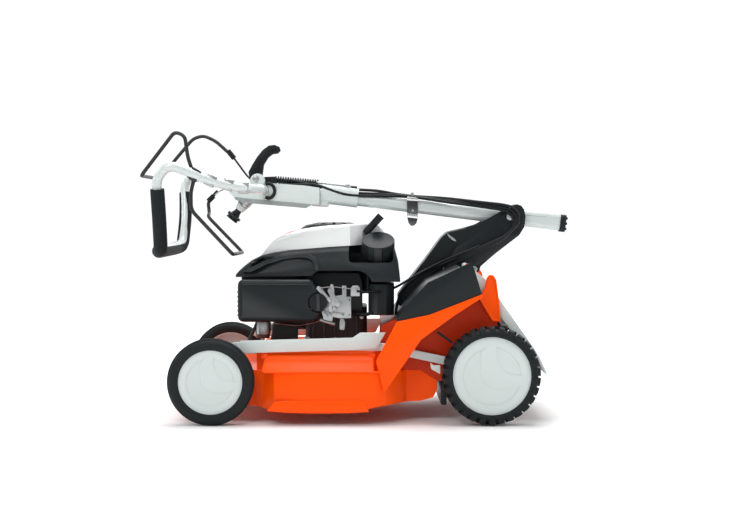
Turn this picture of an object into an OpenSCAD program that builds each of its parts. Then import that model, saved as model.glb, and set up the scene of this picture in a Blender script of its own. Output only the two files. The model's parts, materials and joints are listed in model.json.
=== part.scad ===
// Self-propelled rotary lawn mower with a single-column handle, folded forward for storage.
// Frame: +X to the rear, +Y to the mower's right-hand side, +Z up, millimetres.
// Origin: on the ground, in the middle of the folded mower's box.

/* [Wheels] */
// Distance between the front and the rear wheel centres
wheelbase = 648; // [630:1:660]
// Distance between the centres of the left and right wheels
track = 490; // [486:1:500]
// Front wheel diameter
front_wheel_d = 200; // [196:1:204]
// Rear wheel diameter
rear_wheel_d = 230; // [226:1:234]
// Width of a front tyre
front_tyre_w = 42; // [38:1:44]
// Width of a rear tyre
rear_tyre_w = 46; // [42:1:48]

/* [Cutting deck] */
// Radius of the skirt around the blade
skirt_r = 258; // [252:1:260]
// Height of the skirt's lower edge above the ground
skirt_low = 31; // [28:1:36]
// Height of the ledge on which the dome stands
ledge_z = 121; // [118:1:124]
// Height of the engine plate
plate_z = 165; // [162:1:165]
// Thickness of the deck's metal
deck_t = 3; // [2.5:0.1:3.5]
// Length of the blade from tip to tip
blade_l = 480; // [460:1:490]

/* [Height adjustment] */
// Length of the axle cranks, the distance between a wheel's axle and its pivot
crank_l = 54.75; // [54.75:0.01:54.75]
// Angle of the cranks above the horizontal at the lowest cut
crank_rest = 30; // [28:1:32]

/* [Handle] */
// Height of the column's section
column_h = 39; // [37:1:40]
// Width of the column's section
column_w = 30; // [28:1:32]
// Angle of the folded column above the horizontal
fold_tilt = 7; // [6.5:0.1:7.5]
// Outer diameter of the handlebar tube
bar_d = 23; // [22:1:24]
// Diameter of the bail wire
bail_d = 7; // [6:0.5:8]

/* [Hidden] */
$fn = 64;

front_x = -336;
rear_x = front_x + wheelbase;
front_z = front_wheel_d / 2;
rear_z = rear_wheel_d / 2;
half_track = track / 2;
front_pivot = [front_x - crank_l * cos(crank_rest), front_z - crank_l * sin(crank_rest)];
rear_pivot = [rear_x - crank_l * cos(crank_rest), rear_z - crank_l * sin(crank_rest)];
axle_r = 6;
run_gap = 0.05;
tie_pin = [-25, 50];
tie_pin_r = 4;
crank_x = -60;
belt_z = 140;
side_y = 190;
fender_y = 253;
column_pivot = [375, 481];
flap_pivot = [262, 362];
flap_y = 186;
flap_pin_r = 4;
stop_pivot = [-388, 588];
drive_pivot = [-384, 570];
journal_y = 226;
journal_r = 4.2;
lever_pivot = [-246, 568];
pinion_teeth = 15;
ring_teeth = 88;

// ---- helpers ----
// Extrudes an outline drawn in X and Z from y0 to y1.
module side(y0, y1) { translate([0, y1, 0]) rotate([90, 0, 0]) linear_extrude(y1 - y0) children(); }
// A round bar along Y at point p = [x, z].
module pin_y(p, r, y0, y1) { translate([p[0], y1, p[1]]) rotate([90, 0, 0])
    cylinder(h = y1 - y0, r = r); }
// A flat lever between two points, with round ends.
module lever(p, q, r, y0, y1) {
    d = q - p;
    pin_y(p, r, y0, y1);
    pin_y(q, r, y0, y1);
    side(y0, y1) translate(p) rotate(atan2(d[1], d[0])) translate([0, -0.96 * r])
        square([norm(d), 1.92 * r]);
}
module both() { children(); mirror([0, 1, 0]) children(); }
// A box with round vertical edges.
module round_box(x0, x1, y0, y1, z0, z1, r) {
    translate([0, 0, z0]) linear_extrude(z1 - z0) {
        translate([x0 + r, y0]) square([x1 - x0 - 2 * r, y1 - y0]);
        translate([x0, y0 + r]) square([x1 - x0, y1 - y0 - 2 * r]);
        for (x = [x0 + r, x1 - r], y = [y0 + r, y1 - r]) translate([x, y]) circle(r);
    }
}

// ---- swept tubes ----
function unit(v) = v / norm(v);
// Rounds the corners of a route: each inner point gives way to a short curve.
function rounded(p, d, n = 4) = [
    p[0],
    for (i = [1 : len(p) - 2])
        let (a = p[i] + unit(p[i - 1] - p[i]) * min(d, norm(p[i - 1] - p[i]) * 0.49),
             b = p[i] + unit(p[i + 1] - p[i]) * min(d, norm(p[i + 1] - p[i]) * 0.49))
        for (k = [0 : n]) let (t = k / n) a * (1 - t) * (1 - t) + p[i] * 2 * t * (1 - t) + b * t * t,
    p[len(p) - 1]];
function tangent(p, i) = unit(p[min(i + 1, len(p) - 1)] - p[max(i - 1, 0)]);
function side_axes(p, i, u) = i >= len(p) ? [] :
    let (t = tangent(p, i), v = unit(u - t * (u * t))) concat([v], side_axes(p, i + 1, v));
module tube(p, r, sides = 10, start = [0.1, 0.3, 1]) {
    axes = side_axes(p, 0, start);
    rings = [for (i = [0 : len(p) - 1])
             let (t = tangent(p, i), u = axes[i], v = cross(t, u))
             for (k = [0 : sides - 1]) p[i] + u * r * cos(360 * k / sides) + v * r * sin(360 * k / sides)];
    last = (len(p) - 1) * sides;
    polyhedron(rings, concat(
        [[for (k = [0 : sides - 1]) k]],
        [for (i = [0 : len(p) - 2], k = [0 : sides - 1])
            [i * sides + k, (i + 1) * sides + k, (i + 1) * sides + (k + 1) % sides,
                i * sides + (k + 1) % sides]],
        [[for (k = [sides - 1 : -1 : 0]) last + k]]));
}

// ---- cutting deck ----
module skirt_plan(t) {
    translate([crank_x, 0]) circle(skirt_r - t, $fn = 128);
    translate([-405 + t, t - 187]) square([595 - 2 * t, 374 - 2 * t]);
    for (m = [-1, 1]) polygon([[-218 + t, m * 150], [-218 + t, m * (205 - t)], [-190 + t, m * (248 - t)],
                               [-130, m * (260 - t)], [30, m * (260 - t)], [70 - t, m * (246 - t)],
                               [110 - t, m * (200 - t)], [110 - t, m * 150]]);
}
module dome_plan(t) { translate([-235 + t, -185 + t]) square([290 - 2 * t, 370 - 2 * t]); }
module deck() color("orangered") difference() {
    union() {
        intersection() {
            difference() {
                translate([0, 0, skirt_low - 5]) linear_extrude(ledge_z - skirt_low + 5) skirt_plan(0);
                translate([0, 0, skirt_low - 6]) linear_extrude(ledge_z - skirt_low + 6 - deck_t)
                    skirt_plan(deck_t);
            }
            side(-300, 300) polygon([[-405, 70], [-380, 40], [-255, 38], [-188, skirt_low],
                [-60, skirt_low - 3],
                                     [8, 36], [66, 45], [150, 48], [180, 56], [190, 75], [190, 130],
                                         [208, 130],
                                     [208, 140], [-405, 140]]);
        }
        translate([0, 0, ledge_z]) linear_extrude(plate_z - ledge_z) dome_plan(0);
        both() for (x = [-222, 30]) translate([x, 180, 150]) cube([14, 32, 10]);
    }
    translate([0, 0, ledge_z - 4]) linear_extrude(plate_z - ledge_z + 4 - deck_t) dome_plan(deck_t);
    translate([crank_x, 0, 100]) cylinder(h = 100, r = 26);
    translate([crank_x, 0, belt_z - 11]) rotate([0, 0, -28]) translate([20, -42, 0]) cube([330, 84, 22]);
    translate([150, -145, 100]) cube([60, 325, 40]);
    pin_y(front_pivot, axle_r + 1 + run_gap, -300, 300);
}

// ---- rear housing with the discharge tunnel ----
housing_outline = [[58, ledge_z], [58, 222], [95, 238], [160, 300], [262, 347], [292, 296], [330, 235],
                   [332, 96], [190, 96], [150, ledge_z]];
module rear_housing() color("orangered") difference() {
    union() {
        both() side(side_y - 3, side_y) polygon(housing_outline);
        both() pin_y(rear_pivot, 14, side_y - 4, side_y + 2);
        both() pin_y(flap_pivot, 10, side_y - 3, side_y);
        both() side(side_y - 3, side_y) polygon([[232, 330], [255, 366], [270, 363], [282, 308]]);
        side(-side_y + 3, side_y - 3) polygon([[58, 222], [95, 238], [160, 300], [255, 344], [257, 340],
                                             [163, 296], [97, 234], [58, 218]]);
        side(-122, -119) polygon([[208, 100], [97, 234], [160, 299], [256, 343], [292, 290],
            [320, 235], [325, 110], [325, 100]]);
        side(-side_y + 3, side_y - 3) polygon([[208, 128], [325, 108], [325, 104], [208, 124]]);
        side(-side_y + 3, side_y - 3) polygon([[58, ledge_z], [61, ledge_z], [61, 222], [58, 222]]);
    }
    pin_y(rear_pivot, axle_r + run_gap, -300, 300);
    pin_y(flap_pivot, flap_pin_r + run_gap, -300, 300);
    translate([40, -180, ledge_z + 3]) cube([40, 360, 60]);
    translate([200, -184, belt_z - 60]) cube([90, 61, 90]);
    translate([crank_x, 0, belt_z - 11]) rotate([0, 0, -28]) translate([20, -42, 0]) cube([380, 84, 22]);
}

module catcher_hooks() color("orangered") both() {
    side(side_y, side_y + 12) polygon([[286, 291], [299, 312], [305, 338], [311, 345], [320, 344],
        [327, 333],
                                      [334, 280], [337, 236], [318, 236]]);
}

// ---- body panels ----
module fender(s) color("orangered") scale([1, s, 1])
    side(-fender_y - 4, -fender_y) polygon([[64, 74], [45, 149], [93, 240], [169, 256], [289, 303],
        [292, 297],
                                            [229, 256], [149, 198]]);
module rear_cover() color([0.12, 0.14, 0.15]) {
    difference() {
        side(-fender_y, fender_y) polygon([[93, 240], [123, 285], [165, 331], [240, 367],
            [242, 363], [167, 327],
                                           [126, 282], [97, 240]]);
        translate([150, -52, 250]) cube([120, 104, 150]);
    }
    both() side(fender_y - 4, fender_y) polygon([[93, 240], [123, 285], [165, 331], [261, 377],
        [270, 366], [289, 303],
                                                [169, 256]]);
}
module side_rails() color([0.78, 0.82, 0.81]) both()
    side(212, 222) polygon([[-288, 172], [-272, 196], [-10, 203], [8, 215], [73, 215], [50, 172],
        [-15, 167], [-270, 160]]);

// ---- handle bracket ----
bracket_outline = [[196, 318], [216, 355], [241, 406], [277, 428], [343, 472], [368, 500], [380, 510],
                   [392, 514], [404, 510], [412, 500], [416, 482], [413, 455], [400, 434], [339, 387],
                   [306, 358], [302, 346], [294, 338], [284, 336], [272, 340], [262, 349]];
module bracket_plates() color([0.13, 0.15, 0.16]) difference() {
    both() side(17, 40) polygon(bracket_outline);
    pin_y(column_pivot, 6 + run_gap, -60, 60);
    pin_y([288, 353], 4, -60, 60);
    both() side(20, 36) polygon([[232, 352], [250, 400], [280, 420], [345, 462], [352, 455],
        [372, 440], [396, 446],
                                 [392, 434], [332, 388], [270, 348]]);
}
module bracket_bolts() color("silver") {
    pin_y([288, 353], 4, -42, 42);
    both() pin_y([288, 353], 7, 40, 45);
    pin_y(column_pivot, 6, -41, 41);
    both() pin_y(column_pivot, 9, 41, 45);
}

// ---- engine ----
module engine_block() color([0.25, 0.24, 0.25]) difference() {
    union() {
        round_box(-135, 35, -100, 100, plate_z, plate_z + 12, 20);
        round_box(-125, 25, -85, 85, plate_z + 12, 262, 25);
        round_box(-105, 5, -60, 60, 262, 325, 20);
    }
    translate([crank_x, 0, 100]) cylinder(h = 300, r = 12.5 + run_gap);
}
module cylinder_head() color([0.4, 0.4, 0.41]) difference() {
    union() {
        translate([-205, -42, 205]) cube([80, 84, 84]);
        for (k = [0 : 5]) translate([-200, -52, 208 + k * 15]) cube([70, 104, 4]);
    }
    translate([-215, -9, 238]) cube([20, 18, 18]);
}
shroud_top = [[-297, 338], [-283, 356], [-262, 370], [-236, 386], [-159, 403], [-64, 411],
    [20, 417], [70, 405], [92, 372]];
module blower_housing() color([0.14, 0.16, 0.17]) difference() {
    intersection() {
        side(-152, 152) polygon(concat(shroud_top, [[101, 326], [36, 326], [22, 343], [6, 353],
            [-92, 353], [-108, 340], [-290, 337]]));
        round_box(-300, 104, -152, 152, 300, 430, 60);
    }
    intersection() {
        side(-148, 148) polygon([[-285, 330], [-278, 350], [-234, 382], [-158, 399], [-62, 407],
            [18, 413],
                                 [66, 401], [88, 370], [96, 320], [-285, 320]]);
        round_box(-296, 100, -148, 148, 290, 430, 56);
    }
    translate([crank_x, 0, 395]) cylinder(h = 50, r = 84);
    fuel_neck(47, 60, -30);
    translate([10, -75, 380]) cube([110, 60, 60]);
}
module top_cover() color([0.86, 0.89, 0.88]) difference() {
    intersection() {
        side(-112, 112) polygon([[-236, 387], [-208, 423], [-188, 433], [-144, 449], [-67, 458],
            [-5, 462],
                                 [37, 463], [52, 458], [78, 425], [78, 404.5], [70, 406], [20, 418],
                                     [-64, 412], [-159, 404]]);
        round_box(-240, 82, -112, 112, 380, 480, 50);
    }
    intersection() {
        side(-108, 108) polygon([[-232, 380], [-206, 419], [-144, 445], [-67, 454], [37, 459], [50, 454],
                                 [74, 423], [74, 380], [20, 400], [-159, 380]]);
        round_box(-236, 78, -108, 108, 370, 480, 46);
    }
    translate([crank_x, 0, 395]) cylinder(h = 90, r = 84);
    fuel_neck(47, 80, -30);
    translate([20, -64, 440]) rotate([0, 42, 0]) cylinder(h = 60, r = 14);
}
module recoil_housing() color([0.16, 0.19, 0.2]) translate([crank_x, 0, 0]) difference() {
    rotate_extrude($fn = 96) polygon([[0, 462], [0, 471], [40, 470], [70, 464], [82, 456],
        [82, 396], [78, 396],
                                      [78, 452], [68, 458], [40, 462]]);
    for (a = [0 : 30 : 330]) rotate([0, 0, a]) translate([28, -4, 455]) cube([34, 8, 20]);
}
module air_filter_box() color([0.1, 0.12, 0.13]) difference() {
    round_box(-281, -82, -176, -92, 229, 333, 12);
    translate([-270, -170, 235]) cube([176, 85, 92]);
    pin_y([-90, 279], 24, -180, -160);
}
module filter_knob() color([0.1, 0.12, 0.13]) {
    pin_y([-90, 279], 21, -178, -170);
    translate([-94, -186, 260]) cube([8, 8, 38]);
    pin_y([-90, 279], 5, -170, -160);
}
// The fuel filler's axis leans outwards, towards the mower's left-hand side.
cap_at = [52, -96, 400];
cap_lean = 30;
neck_r = 24;
module fuel_neck(r, h, z0) translate(cap_at) rotate([cap_lean, 0, 0]) translate([0, 0, z0])
    cylinder(h = h, r = r);
module fuel_tank() color([0.1, 0.11, 0.12]) difference() {
    union() {
        round_box(28, 90, -140, -20, 246, 320, 24);
        fuel_neck(neck_r, 103, -95);
    }
    round_box(31, 87, -137, -23, 249, 317, 21);
    fuel_neck(neck_r - 4, 110, -95);
}
module fuel_cap() color([0.1, 0.11, 0.12]) difference() {
    translate(cap_at) rotate([cap_lean, 0, 0]) translate([0, 0, -11]) union() {
        cylinder(h = 40, r = 38);
        for (a = [0 : 30 : 330]) rotate([0, 0, a]) translate([34, -8, 2]) cube([5, 16, 36]);
    }
    fuel_neck(neck_r + run_gap, 24, -12);
}
module carburettor() color([0.62, 0.64, 0.64]) {
    translate([-225, -116, 200]) cylinder(h = 29, r = 19);
    translate([-225, -112, 208]) cube([36, 60, 14]);
}
module control_plate() color([0.62, 0.66, 0.66]) difference() {
    union() {
        side(-162, -159) polygon([[-80, 250], [-78, 238], [-58, 233], [-56, 244], [-41, 241],
            [-13, 241], [-13, 292],
                                  [-24, 292], [-24, 318], [-34, 318], [-34, 296], [-66, 290],
                                      [-78, 272]]);
        for (x = [-74, -22]) pin_y([x, 250], 5, -159, -85);
    }
    pin_y([-48, 276], 3 + run_gap, -180, -150);
}
module throttle_lever() color([0.7, 0.72, 0.72]) {
    lever([-48, 276], [-62, 306], 6, -168, -165);
    pin_y([-48, 276], 9, -168, -163);
    pin_y([-48, 276], 3, -164, -157);
}
module muffler() color([0.35, 0.34, 0.34]) {
    round_box(-120, 10, 90, 150, 240, 320, 14);
    translate([-55, 82, 262]) cube([30, 10, 30]);
}
module spark_plug() color([0.12, 0.12, 0.12]) {
    translate([-250, 0, 247]) rotate([0, 90, 0]) cylinder(h = 46, r = 8);
    translate([-262, 0, 247]) rotate([0, 90, 0]) cylinder(h = 30, r = 11);
}
module starter_grip() color([0.1, 0.12, 0.13]) translate([20, -64, 440]) rotate([0, 42, 0]) {
    cylinder(h = 34, r = 9);
    translate([-9, -22, 34]) cube([18, 44, 24]);
}

// ---- cutter group, turning with the crankshaft ----
module crankshaft() color("silver") translate([crank_x, 0, 0]) {
    translate([0, 0, 64]) cylinder(h = 381, r = 12.5);
    translate([0, 0, belt_z - 9]) cylinder(h = 18, r = crank_pulley_r);
}
module flywheel() color([0.5, 0.5, 0.5]) translate([crank_x, 0, 0]) difference() {
    union() {
        translate([0, 0, 345]) cylinder(h = 22, r = 80);
        for (a = [0 : 30 : 330]) rotate([0, 0, a]) translate([48, -2, 366]) cube([28, 4, 22]);
    }
    translate([0, 0, 300]) cylinder(h = 100, r = 12.5);
}
module blade_carrier() color([0.3, 0.3, 0.3]) translate([crank_x, 0, 0]) difference() {
    union() {
        translate([0, 0, 56]) cylinder(h = 44, r = 22);
        translate([0, 0, 56]) cylinder(h = 7, r = 38);
    }
    translate([0, 0, 64]) cylinder(h = 60, r = 12.5);
    translate([0, 0, 40]) cylinder(h = 60, r = 5);
}
module blade() color([0.35, 0.36, 0.37]) translate([crank_x, 0, 0]) difference() {
    union() {
        translate([-25, -blade_l / 2 + 1, 51]) cube([50, blade_l - 2, 5]);
        for (a = [0, 180]) rotate([0, 0, a]) translate([12, blade_l / 2 - 90, 51])
            rotate([0, -35, 0]) cube([24, 84, 4]);
    }
    translate([0, 0, 40]) cylinder(h = 30, r = 5);
}
module blade_bolt() color("silver") translate([crank_x, 0, 0]) {
    translate([0, 0, 43]) cylinder(h = 8, r = 10, $fn = 6);
    translate([0, 0, 51]) cylinder(h = 13, r = 5);
}

// ---- drive ----
gear_at = [250, -158];
crank_pulley_r = 24;
gear_pulley_r = 27;
module gearbox() color([0.55, 0.57, 0.58]) difference() {
    union() {
        translate([242, -184, 72]) cube([42, 56, 34]);
        translate([gear_at[0], gear_at[1], 100]) cylinder(h = 28, r = 14);
        pin_y(rear_pivot, 16, -186, -124);
    }
    pin_y(rear_pivot, axle_r + run_gap, -300, 300);
    translate([gear_at[0], gear_at[1], 108]) cylinder(h = 60, r = 7 + run_gap);
}
module gearbox_pulley() color([0.3, 0.31, 0.32]) translate([gear_at[0], gear_at[1], 0]) difference() {
    union() {
        translate([0, 0, 109]) cylinder(h = 46, r = 7);
        translate([0, 0, belt_z - 8]) cylinder(h = 16, r = gear_pulley_r);
    }
}
module belt_loop(r) hull() {
    translate([crank_x, 0]) circle(crank_pulley_r + r);
    translate(gear_at) circle(gear_pulley_r + r);
}
module drive_belt() color([0.08, 0.08, 0.08]) translate([0, 0, belt_z - 4]) linear_extrude(8)
    difference() {
    belt_loop(5);
    belt_loop(0.4);
}
// Trapezium teeth around a circle.
function gear_points(z, root, tip, share_root, share_tip) = [for (k = [0 : z - 1], s = [[root,
    -share_root], [tip, -share_tip], [tip, share_tip], [root, share_root]])
    let (a = 360 * (k + s[1]) / z) [s[0] * cos(a), s[0] * sin(a)]];
module drive_shaft() color("silver") pin_y(rear_pivot, axle_r, -240, 240);
module pinion(s) color([0.3, 0.3, 0.31]) {
    y0 = s < 0 ? -238 : 226;
    difference() {
        translate([rear_pivot[0], y0 + 12, rear_pivot[1]]) rotate([90, 0, 0]) linear_extrude(12)
            rotate(crank_rest) polygon(gear_points(pinion_teeth, 9.1, 12.6, 0.25, 0.13));
        pin_y(rear_pivot, axle_r + run_gap, y0 - 1, y0 + 13);
    }
}
module rear_axle() color("silver") {
    wheel = [rear_x, rear_z];
    stay = rear_pivot + [31, -20];
    difference() {
        union() {
            both() lever(rear_pivot, wheel, 12, 194, 200);
            both() lever(rear_pivot, stay, 7, 194, 200);
            mirror([0, 1, 0]) lever(rear_pivot, rear_pivot + tie_pin, 9, 194, 200);
        }
        pin_y(rear_pivot, axle_r + run_gap, -260, 260);
    }
    both() pin_y(wheel, axle_r, 199, half_track + 10);
    mirror([0, 1, 0]) pin_y(rear_pivot + tie_pin, tie_pin_r, 199, 210);
    pin_y(stay, 6, -199, 199);
}
module front_axle() color("silver") {
    wheel = [front_x, front_z];
    both() {
        lever(front_pivot, wheel, 12, 194, 200);
        pin_y(wheel, axle_r, 200, half_track + 8);
    }
    mirror([0, 1, 0]) {
        lever(front_pivot, front_pivot + tie_pin, 9, 194, 200);
        pin_y(front_pivot + tie_pin, tie_pin_r, 200, 210);
    }
    pin_y(front_pivot, axle_r + 1, -200, 200);
}
module height_tie_bar() color([0.72, 0.76, 0.75]) {
    a = front_pivot + tie_pin;
    b = rear_pivot + tie_pin;
    difference() {
        union() {
            pin_y(a, 10, -207, -202);
            pin_y(b, 10, -207, -202);
            side(-207, -202) polygon([a + [0, 9], [-285, 188],
                [62, 186], b + [2, 9.5], b + [-3, -9.5], [56, 168], [-280, 170], a + [4, -9]]);
        }
        pin_y(b, tie_pin_r + run_gap, -210, -200);
        pin_y(a, tie_pin_r + 0.8, -210, -200);
    }
}

// ---- wheels ----
// Ring profile of a tyre: outer radius ro, inner radius ri, half-width w.
module tyre_ring(p, ro, ri, w, y) translate([p[0], y, p[1]]) rotate([90, 0, 0])
    rotate_extrude($fn = 96) polygon([[ri, -w + 3], [ro - 9, -w], [ro - 2, -w + 7], [ro, 0],
        [ro - 2, w - 7], [ro - 9, w], [ri, w - 3]]);
module rear_tyre(s) color([0.08, 0.09, 0.09]) difference() {
    tyre_ring([rear_x, rear_z], rear_z, 90, rear_tyre_w / 2, s * half_track);
    for (a = [0 : 15 : 345]) translate([rear_x, s * half_track, rear_z]) rotate([0, a, 0])
        translate([-4, s * 16 - 8, rear_z - 5]) cube([8, 16, 10]);
}
module front_tyre(s) color([0.08, 0.09, 0.09])
    tyre_ring([front_x, front_z], front_z, 74, front_tyre_w / 2, s * half_track);
// The rim is open on its inner side, with a hub, a web and a closed outer disc.
module rim(p, ro, w, bore, s, y) translate([p[0], y, p[1]]) rotate([s * 90, 0, 0])
    rotate_extrude($fn = 96) polygon([[0, w - 2], [0, w + 1], [ro * 0.72, w], [ro * 0.8, w - 3],
        [ro - 5, w - 2], [ro, w - 3], [ro, -w + 4], [ro - 3, -w + 4],
        [ro - 3, w - 7], [18, w - 8], [18, -w + 8], [bore, -w + 8], [bore, w - 6], [0, w - 6]]);
module rear_rim(s) color([0.8, 0.84, 0.83]) {
    rim([rear_x, rear_z], 90, 22, axle_r + run_gap, -s, s * half_track);
    y0 = s < 0 ? -237 : 227;
    translate([rear_x, y0 + 10, rear_z]) rotate([90, 0, 0]) linear_extrude(10)
        rotate(crank_rest + 180) difference() {
        circle(87.2);
        polygon(gear_points(ring_teeth, 68.2, 64.6, 0.25, 0.13));
    }
}
module front_rim(s) color([0.8, 0.84, 0.83]) rim([front_x, front_z], 74, 20, axle_r + run_gap, -s,
    s * half_track);

// ---- rear flap ----
module rear_flap() color([0.84, 0.87, 0.86]) difference() {
    union() {
        side(-flap_y, flap_y) polygon([[268, 362], [304, 333], [416, 174], [430, 152], [449, 111],
            [444, 112], [424, 148],
                                       [410, 170], [299, 328], [264, 357]]);
        both() side(flap_y - 3, flap_y) polygon([[262, 368], [268, 364], [304, 333], [402, 194],
            [380, 194], [296, 300], [258, 358]]);
        pin_y(flap_pivot, 7, -flap_y, flap_y);
        pin_y(flap_pivot, flap_pin_r, -side_y - 3, side_y + 3);
    }
    translate([250, -60, 300]) cube([66, 120, 80]);
}

// ---- handle ----
// Places its children at the column's pivot, with +X along the folded column towards the grips.
module on_column() translate([column_pivot[0], 0, column_pivot[1]]) rotate([0, fold_tilt + 180, 0])
    mirror([0, 0, 1]) children();
module column_section(w, h) {
    r = 12;
    square([w - 2 * r, h], center = true);
    square([w, h - 2 * r], center = true);
    for (x = [-1, 1], y = [-1, 1]) translate([x * (w / 2 - r), y * (h / 2 - r)]) circle(r);
}
module handle_column() color([0.8, 0.83, 0.82]) difference() {
    on_column() translate([-128, 0, 0]) rotate([90, 0, 90]) linear_extrude(510) difference() {
        column_section(column_w, column_h);
        column_section(column_w - 5, column_h - 5);
    }
    pin_y(column_pivot, 6 + run_gap, -60, 60);
}
module column_cap() color([0.07, 0.08, 0.08]) on_column() {
    translate([-142, 0, 0]) rotate([90, 0, 90]) linear_extrude(14)
        column_section(column_w + 4, column_h + 4);
    for (k = [-1 : 1]) translate([-145, -15, k * 13 - 3]) cube([4, 30, 6]);
}
// The clamp knob's axis points forwards and down from the head.
module knob_axis(d) translate([-272, 0, 522]) rotate([0, 219, 0]) translate([0, 0, d]) children();
module lock_knob() color([0.12, 0.13, 0.13]) {
    knob_axis(-10) cylinder(h = 50, r = 5);
    knob_axis(34) cylinder(h = 14, r1 = 8, r2 = 12);
    knob_axis(48) cylinder(h = 8, r = 18.5);
}
module handle_head() color([0.78, 0.82, 0.81]) difference() {
    union() {
        side(-36, 36) polygon([[-314, 541], [-297, 523], [-255, 515], [-164, 507], [-127, 504],
            [-113, 511], [-92, 511],
                               [-92, 552], [-127, 557], [-196, 562], [-236, 565], [-296, 556]]);
        on_column() translate([375, 0, 0]) rotate([90, 0, 90]) linear_extrude(92)
            column_section(column_w + 10, column_h + 8);
        pin_y(lever_pivot, 16, -14, 30);
        knob_axis(-12) cylinder(h = 44, r1 = 19, r2 = 11);
    }
    on_column() translate([300, 0, 0]) rotate([90, 0, 90]) linear_extrude(82)
        column_section(column_w, column_h);
    pin_y([-228, 546], bar_d / 2, -60, 60);
    pin_y(lever_pivot, 6 + run_gap, -60, 60);
    pin_y(lever_pivot, 20, -40, -14);
    knob_axis(-12) cylinder(h = 60, r = 5 + run_gap);
}
// One half of the handlebar's route; the other half is its mirror image.
bar_half = [[-228, -1, 546], [-228, -170, 546], [-262, -222, 546], [-322, -236, 558], [-392, -244, 585],
            [-438, -250, 598], [-466, -248, 566], [-456, -232, 480], [-458, -190, 405],
                [-470, -150, 400]];
grip_half = [[-464, -246, 544], [-456, -232, 480], [-458, -190, 405], [-470, -150, 400]];
function flip_y(p) = [for (i = [len(p) - 1 : -1 : 0]) [p[i][0], -p[i][1], p[i][2]]];
function loop_of(p, d) = rounded(concat(p, flip_y(p)), d, 5);
module bail_clip() difference() {
    union() {
        side(218, 224) polygon([[-400, 594], [-392, 600], [-380, 598], [-372, 584], [-370, 560],
            [-390, 558], [-400, 572]]);
        side(224, 238) polygon([[-396, 590], [-380, 592], [-376, 576], [-394, 576]]);
    }
    pin_y(stop_pivot, journal_r + run_gap, 200, 240);
    pin_y(drive_pivot, journal_r + run_gap, 200, 240);
}
module handlebar() color([0.84, 0.87, 0.86]) {
    tube(loop_of(bar_half, 34), bar_d / 2, 12);
    both() bail_clip();
}
module handle_grip() color([0.1, 0.12, 0.12]) difference() {
    tube(loop_of(grip_half, 34), 16.5, 14);
    tube(loop_of(concat([[-465, -247, 556]], grip_half), 34), bar_d / 2 - 0.2, 12);
}
module bail_wire(p) tube(rounded(p, 18, 3), bail_d / 2, 8);
module stop_bail() color([0.06, 0.07, 0.07]) {
    pin_y(stop_pivot, journal_r, -journal_y, journal_y);
    pin_y(stop_pivot, 8, -159, -145);
    bail_wire([[-389.5, -152, 593], [-399, -152, 622], [-406, -150, 672], [-430, -148, 682],
        [-510, -148, 578],
               [-512, 148, 578], [-424, 150, 682], [-397, 152, 690], [-366, 152, 676],
                   [-322, 150, 636]]);
    lever([-334, 651], [-318, 631], 7, 144, 157);
}
module drive_bail() color([0.06, 0.07, 0.07]) {
    pin_y(drive_pivot, journal_r, -journal_y, journal_y);
    pin_y(drive_pivot, 8, -159, -145);
    bail_wire([[-385.5, -152, 565], [-392, -152, 540], [-392, -150, 497], [-294, -150, 392],
        [-297, 150, 388],
               [-386, 152, 480], [-388, 196, 492], [-392, 198, 520], [-366, 198, 548]]);
    lever([-391, 521], [-377, 535], 7.3, 192, 205);
}
module speed_lever() color([0.07, 0.08, 0.08]) {
    pin_y(lever_pivot, 6, -36, 30);
    pin_y(lever_pivot, 17, -26, -15);
    side(-33, -17) polygon([[-262, 568], [-266, 590], [-256, 609], [-244, 628], [-231, 644],
        [-216, 655], [-202, 657],
                            [-190, 652], [-187, 643], [-193, 636], [-206, 634], [-217, 626],
                                [-228, 608], [-234, 566]]);
}
module head_spring() color([0.25, 0.26, 0.26]) translate([-201, 0, 578]) rotate([0, 95, 0]) {
    cylinder(h = 108, r = 9.5);
    translate([0, 0, 108]) cylinder(h = 64, r = 6);
    translate([0, 0, 172]) cylinder(h = 16, r = 8, $fn = 6);
}
module rope_clip() color("silver") difference() {
    union() {
        side(-19, -16) polygon([[126, 534], [152, 531], [154, 485], [148, 455], [136, 444],
            [128, 456], [124, 486]]);
        side(-19, 19) polygon([[126, 540], [152, 537], [152, 480], [126, 483]]);
    }
    on_column() translate([200, 0, 0]) rotate([90, 0, 90]) linear_extrude(80)
        column_section(column_w, column_h);
    translate([100, -16, 440]) cube([80, 32, 58]);
}
cable_r = 3.5;
handle_cable_route = [[2, -16, 556], [60, -12, 549], [139, -12, 545], [230, -16, 530],
    [318, -52, 511], [345, -54, 507]];
module handle_cables() color([0.05, 0.05, 0.06]) {
    for (k = [0, 1]) tube(rounded([for (p = handle_cable_route) p + [0, k * 8, 0]], 30, 3), cable_r, 8);
}
chassis_cable_route = [[350, -62, 506], [386, -62, 504], [404, -62, 470], [380, -60, 436],
    [300, -46, 384],
                       [232, -46, 356], [152, -46, 336], [118, -60, 310], [106, -84, 276]];
module chassis_cables() color([0.05, 0.05, 0.06]) {
    for (k = [0, 1]) tube(rounded([for (p = chassis_cable_route)
        p + [-k * 4, 0, -k * 8.5]], 26, 4), cable_r, 8);
}

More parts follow.
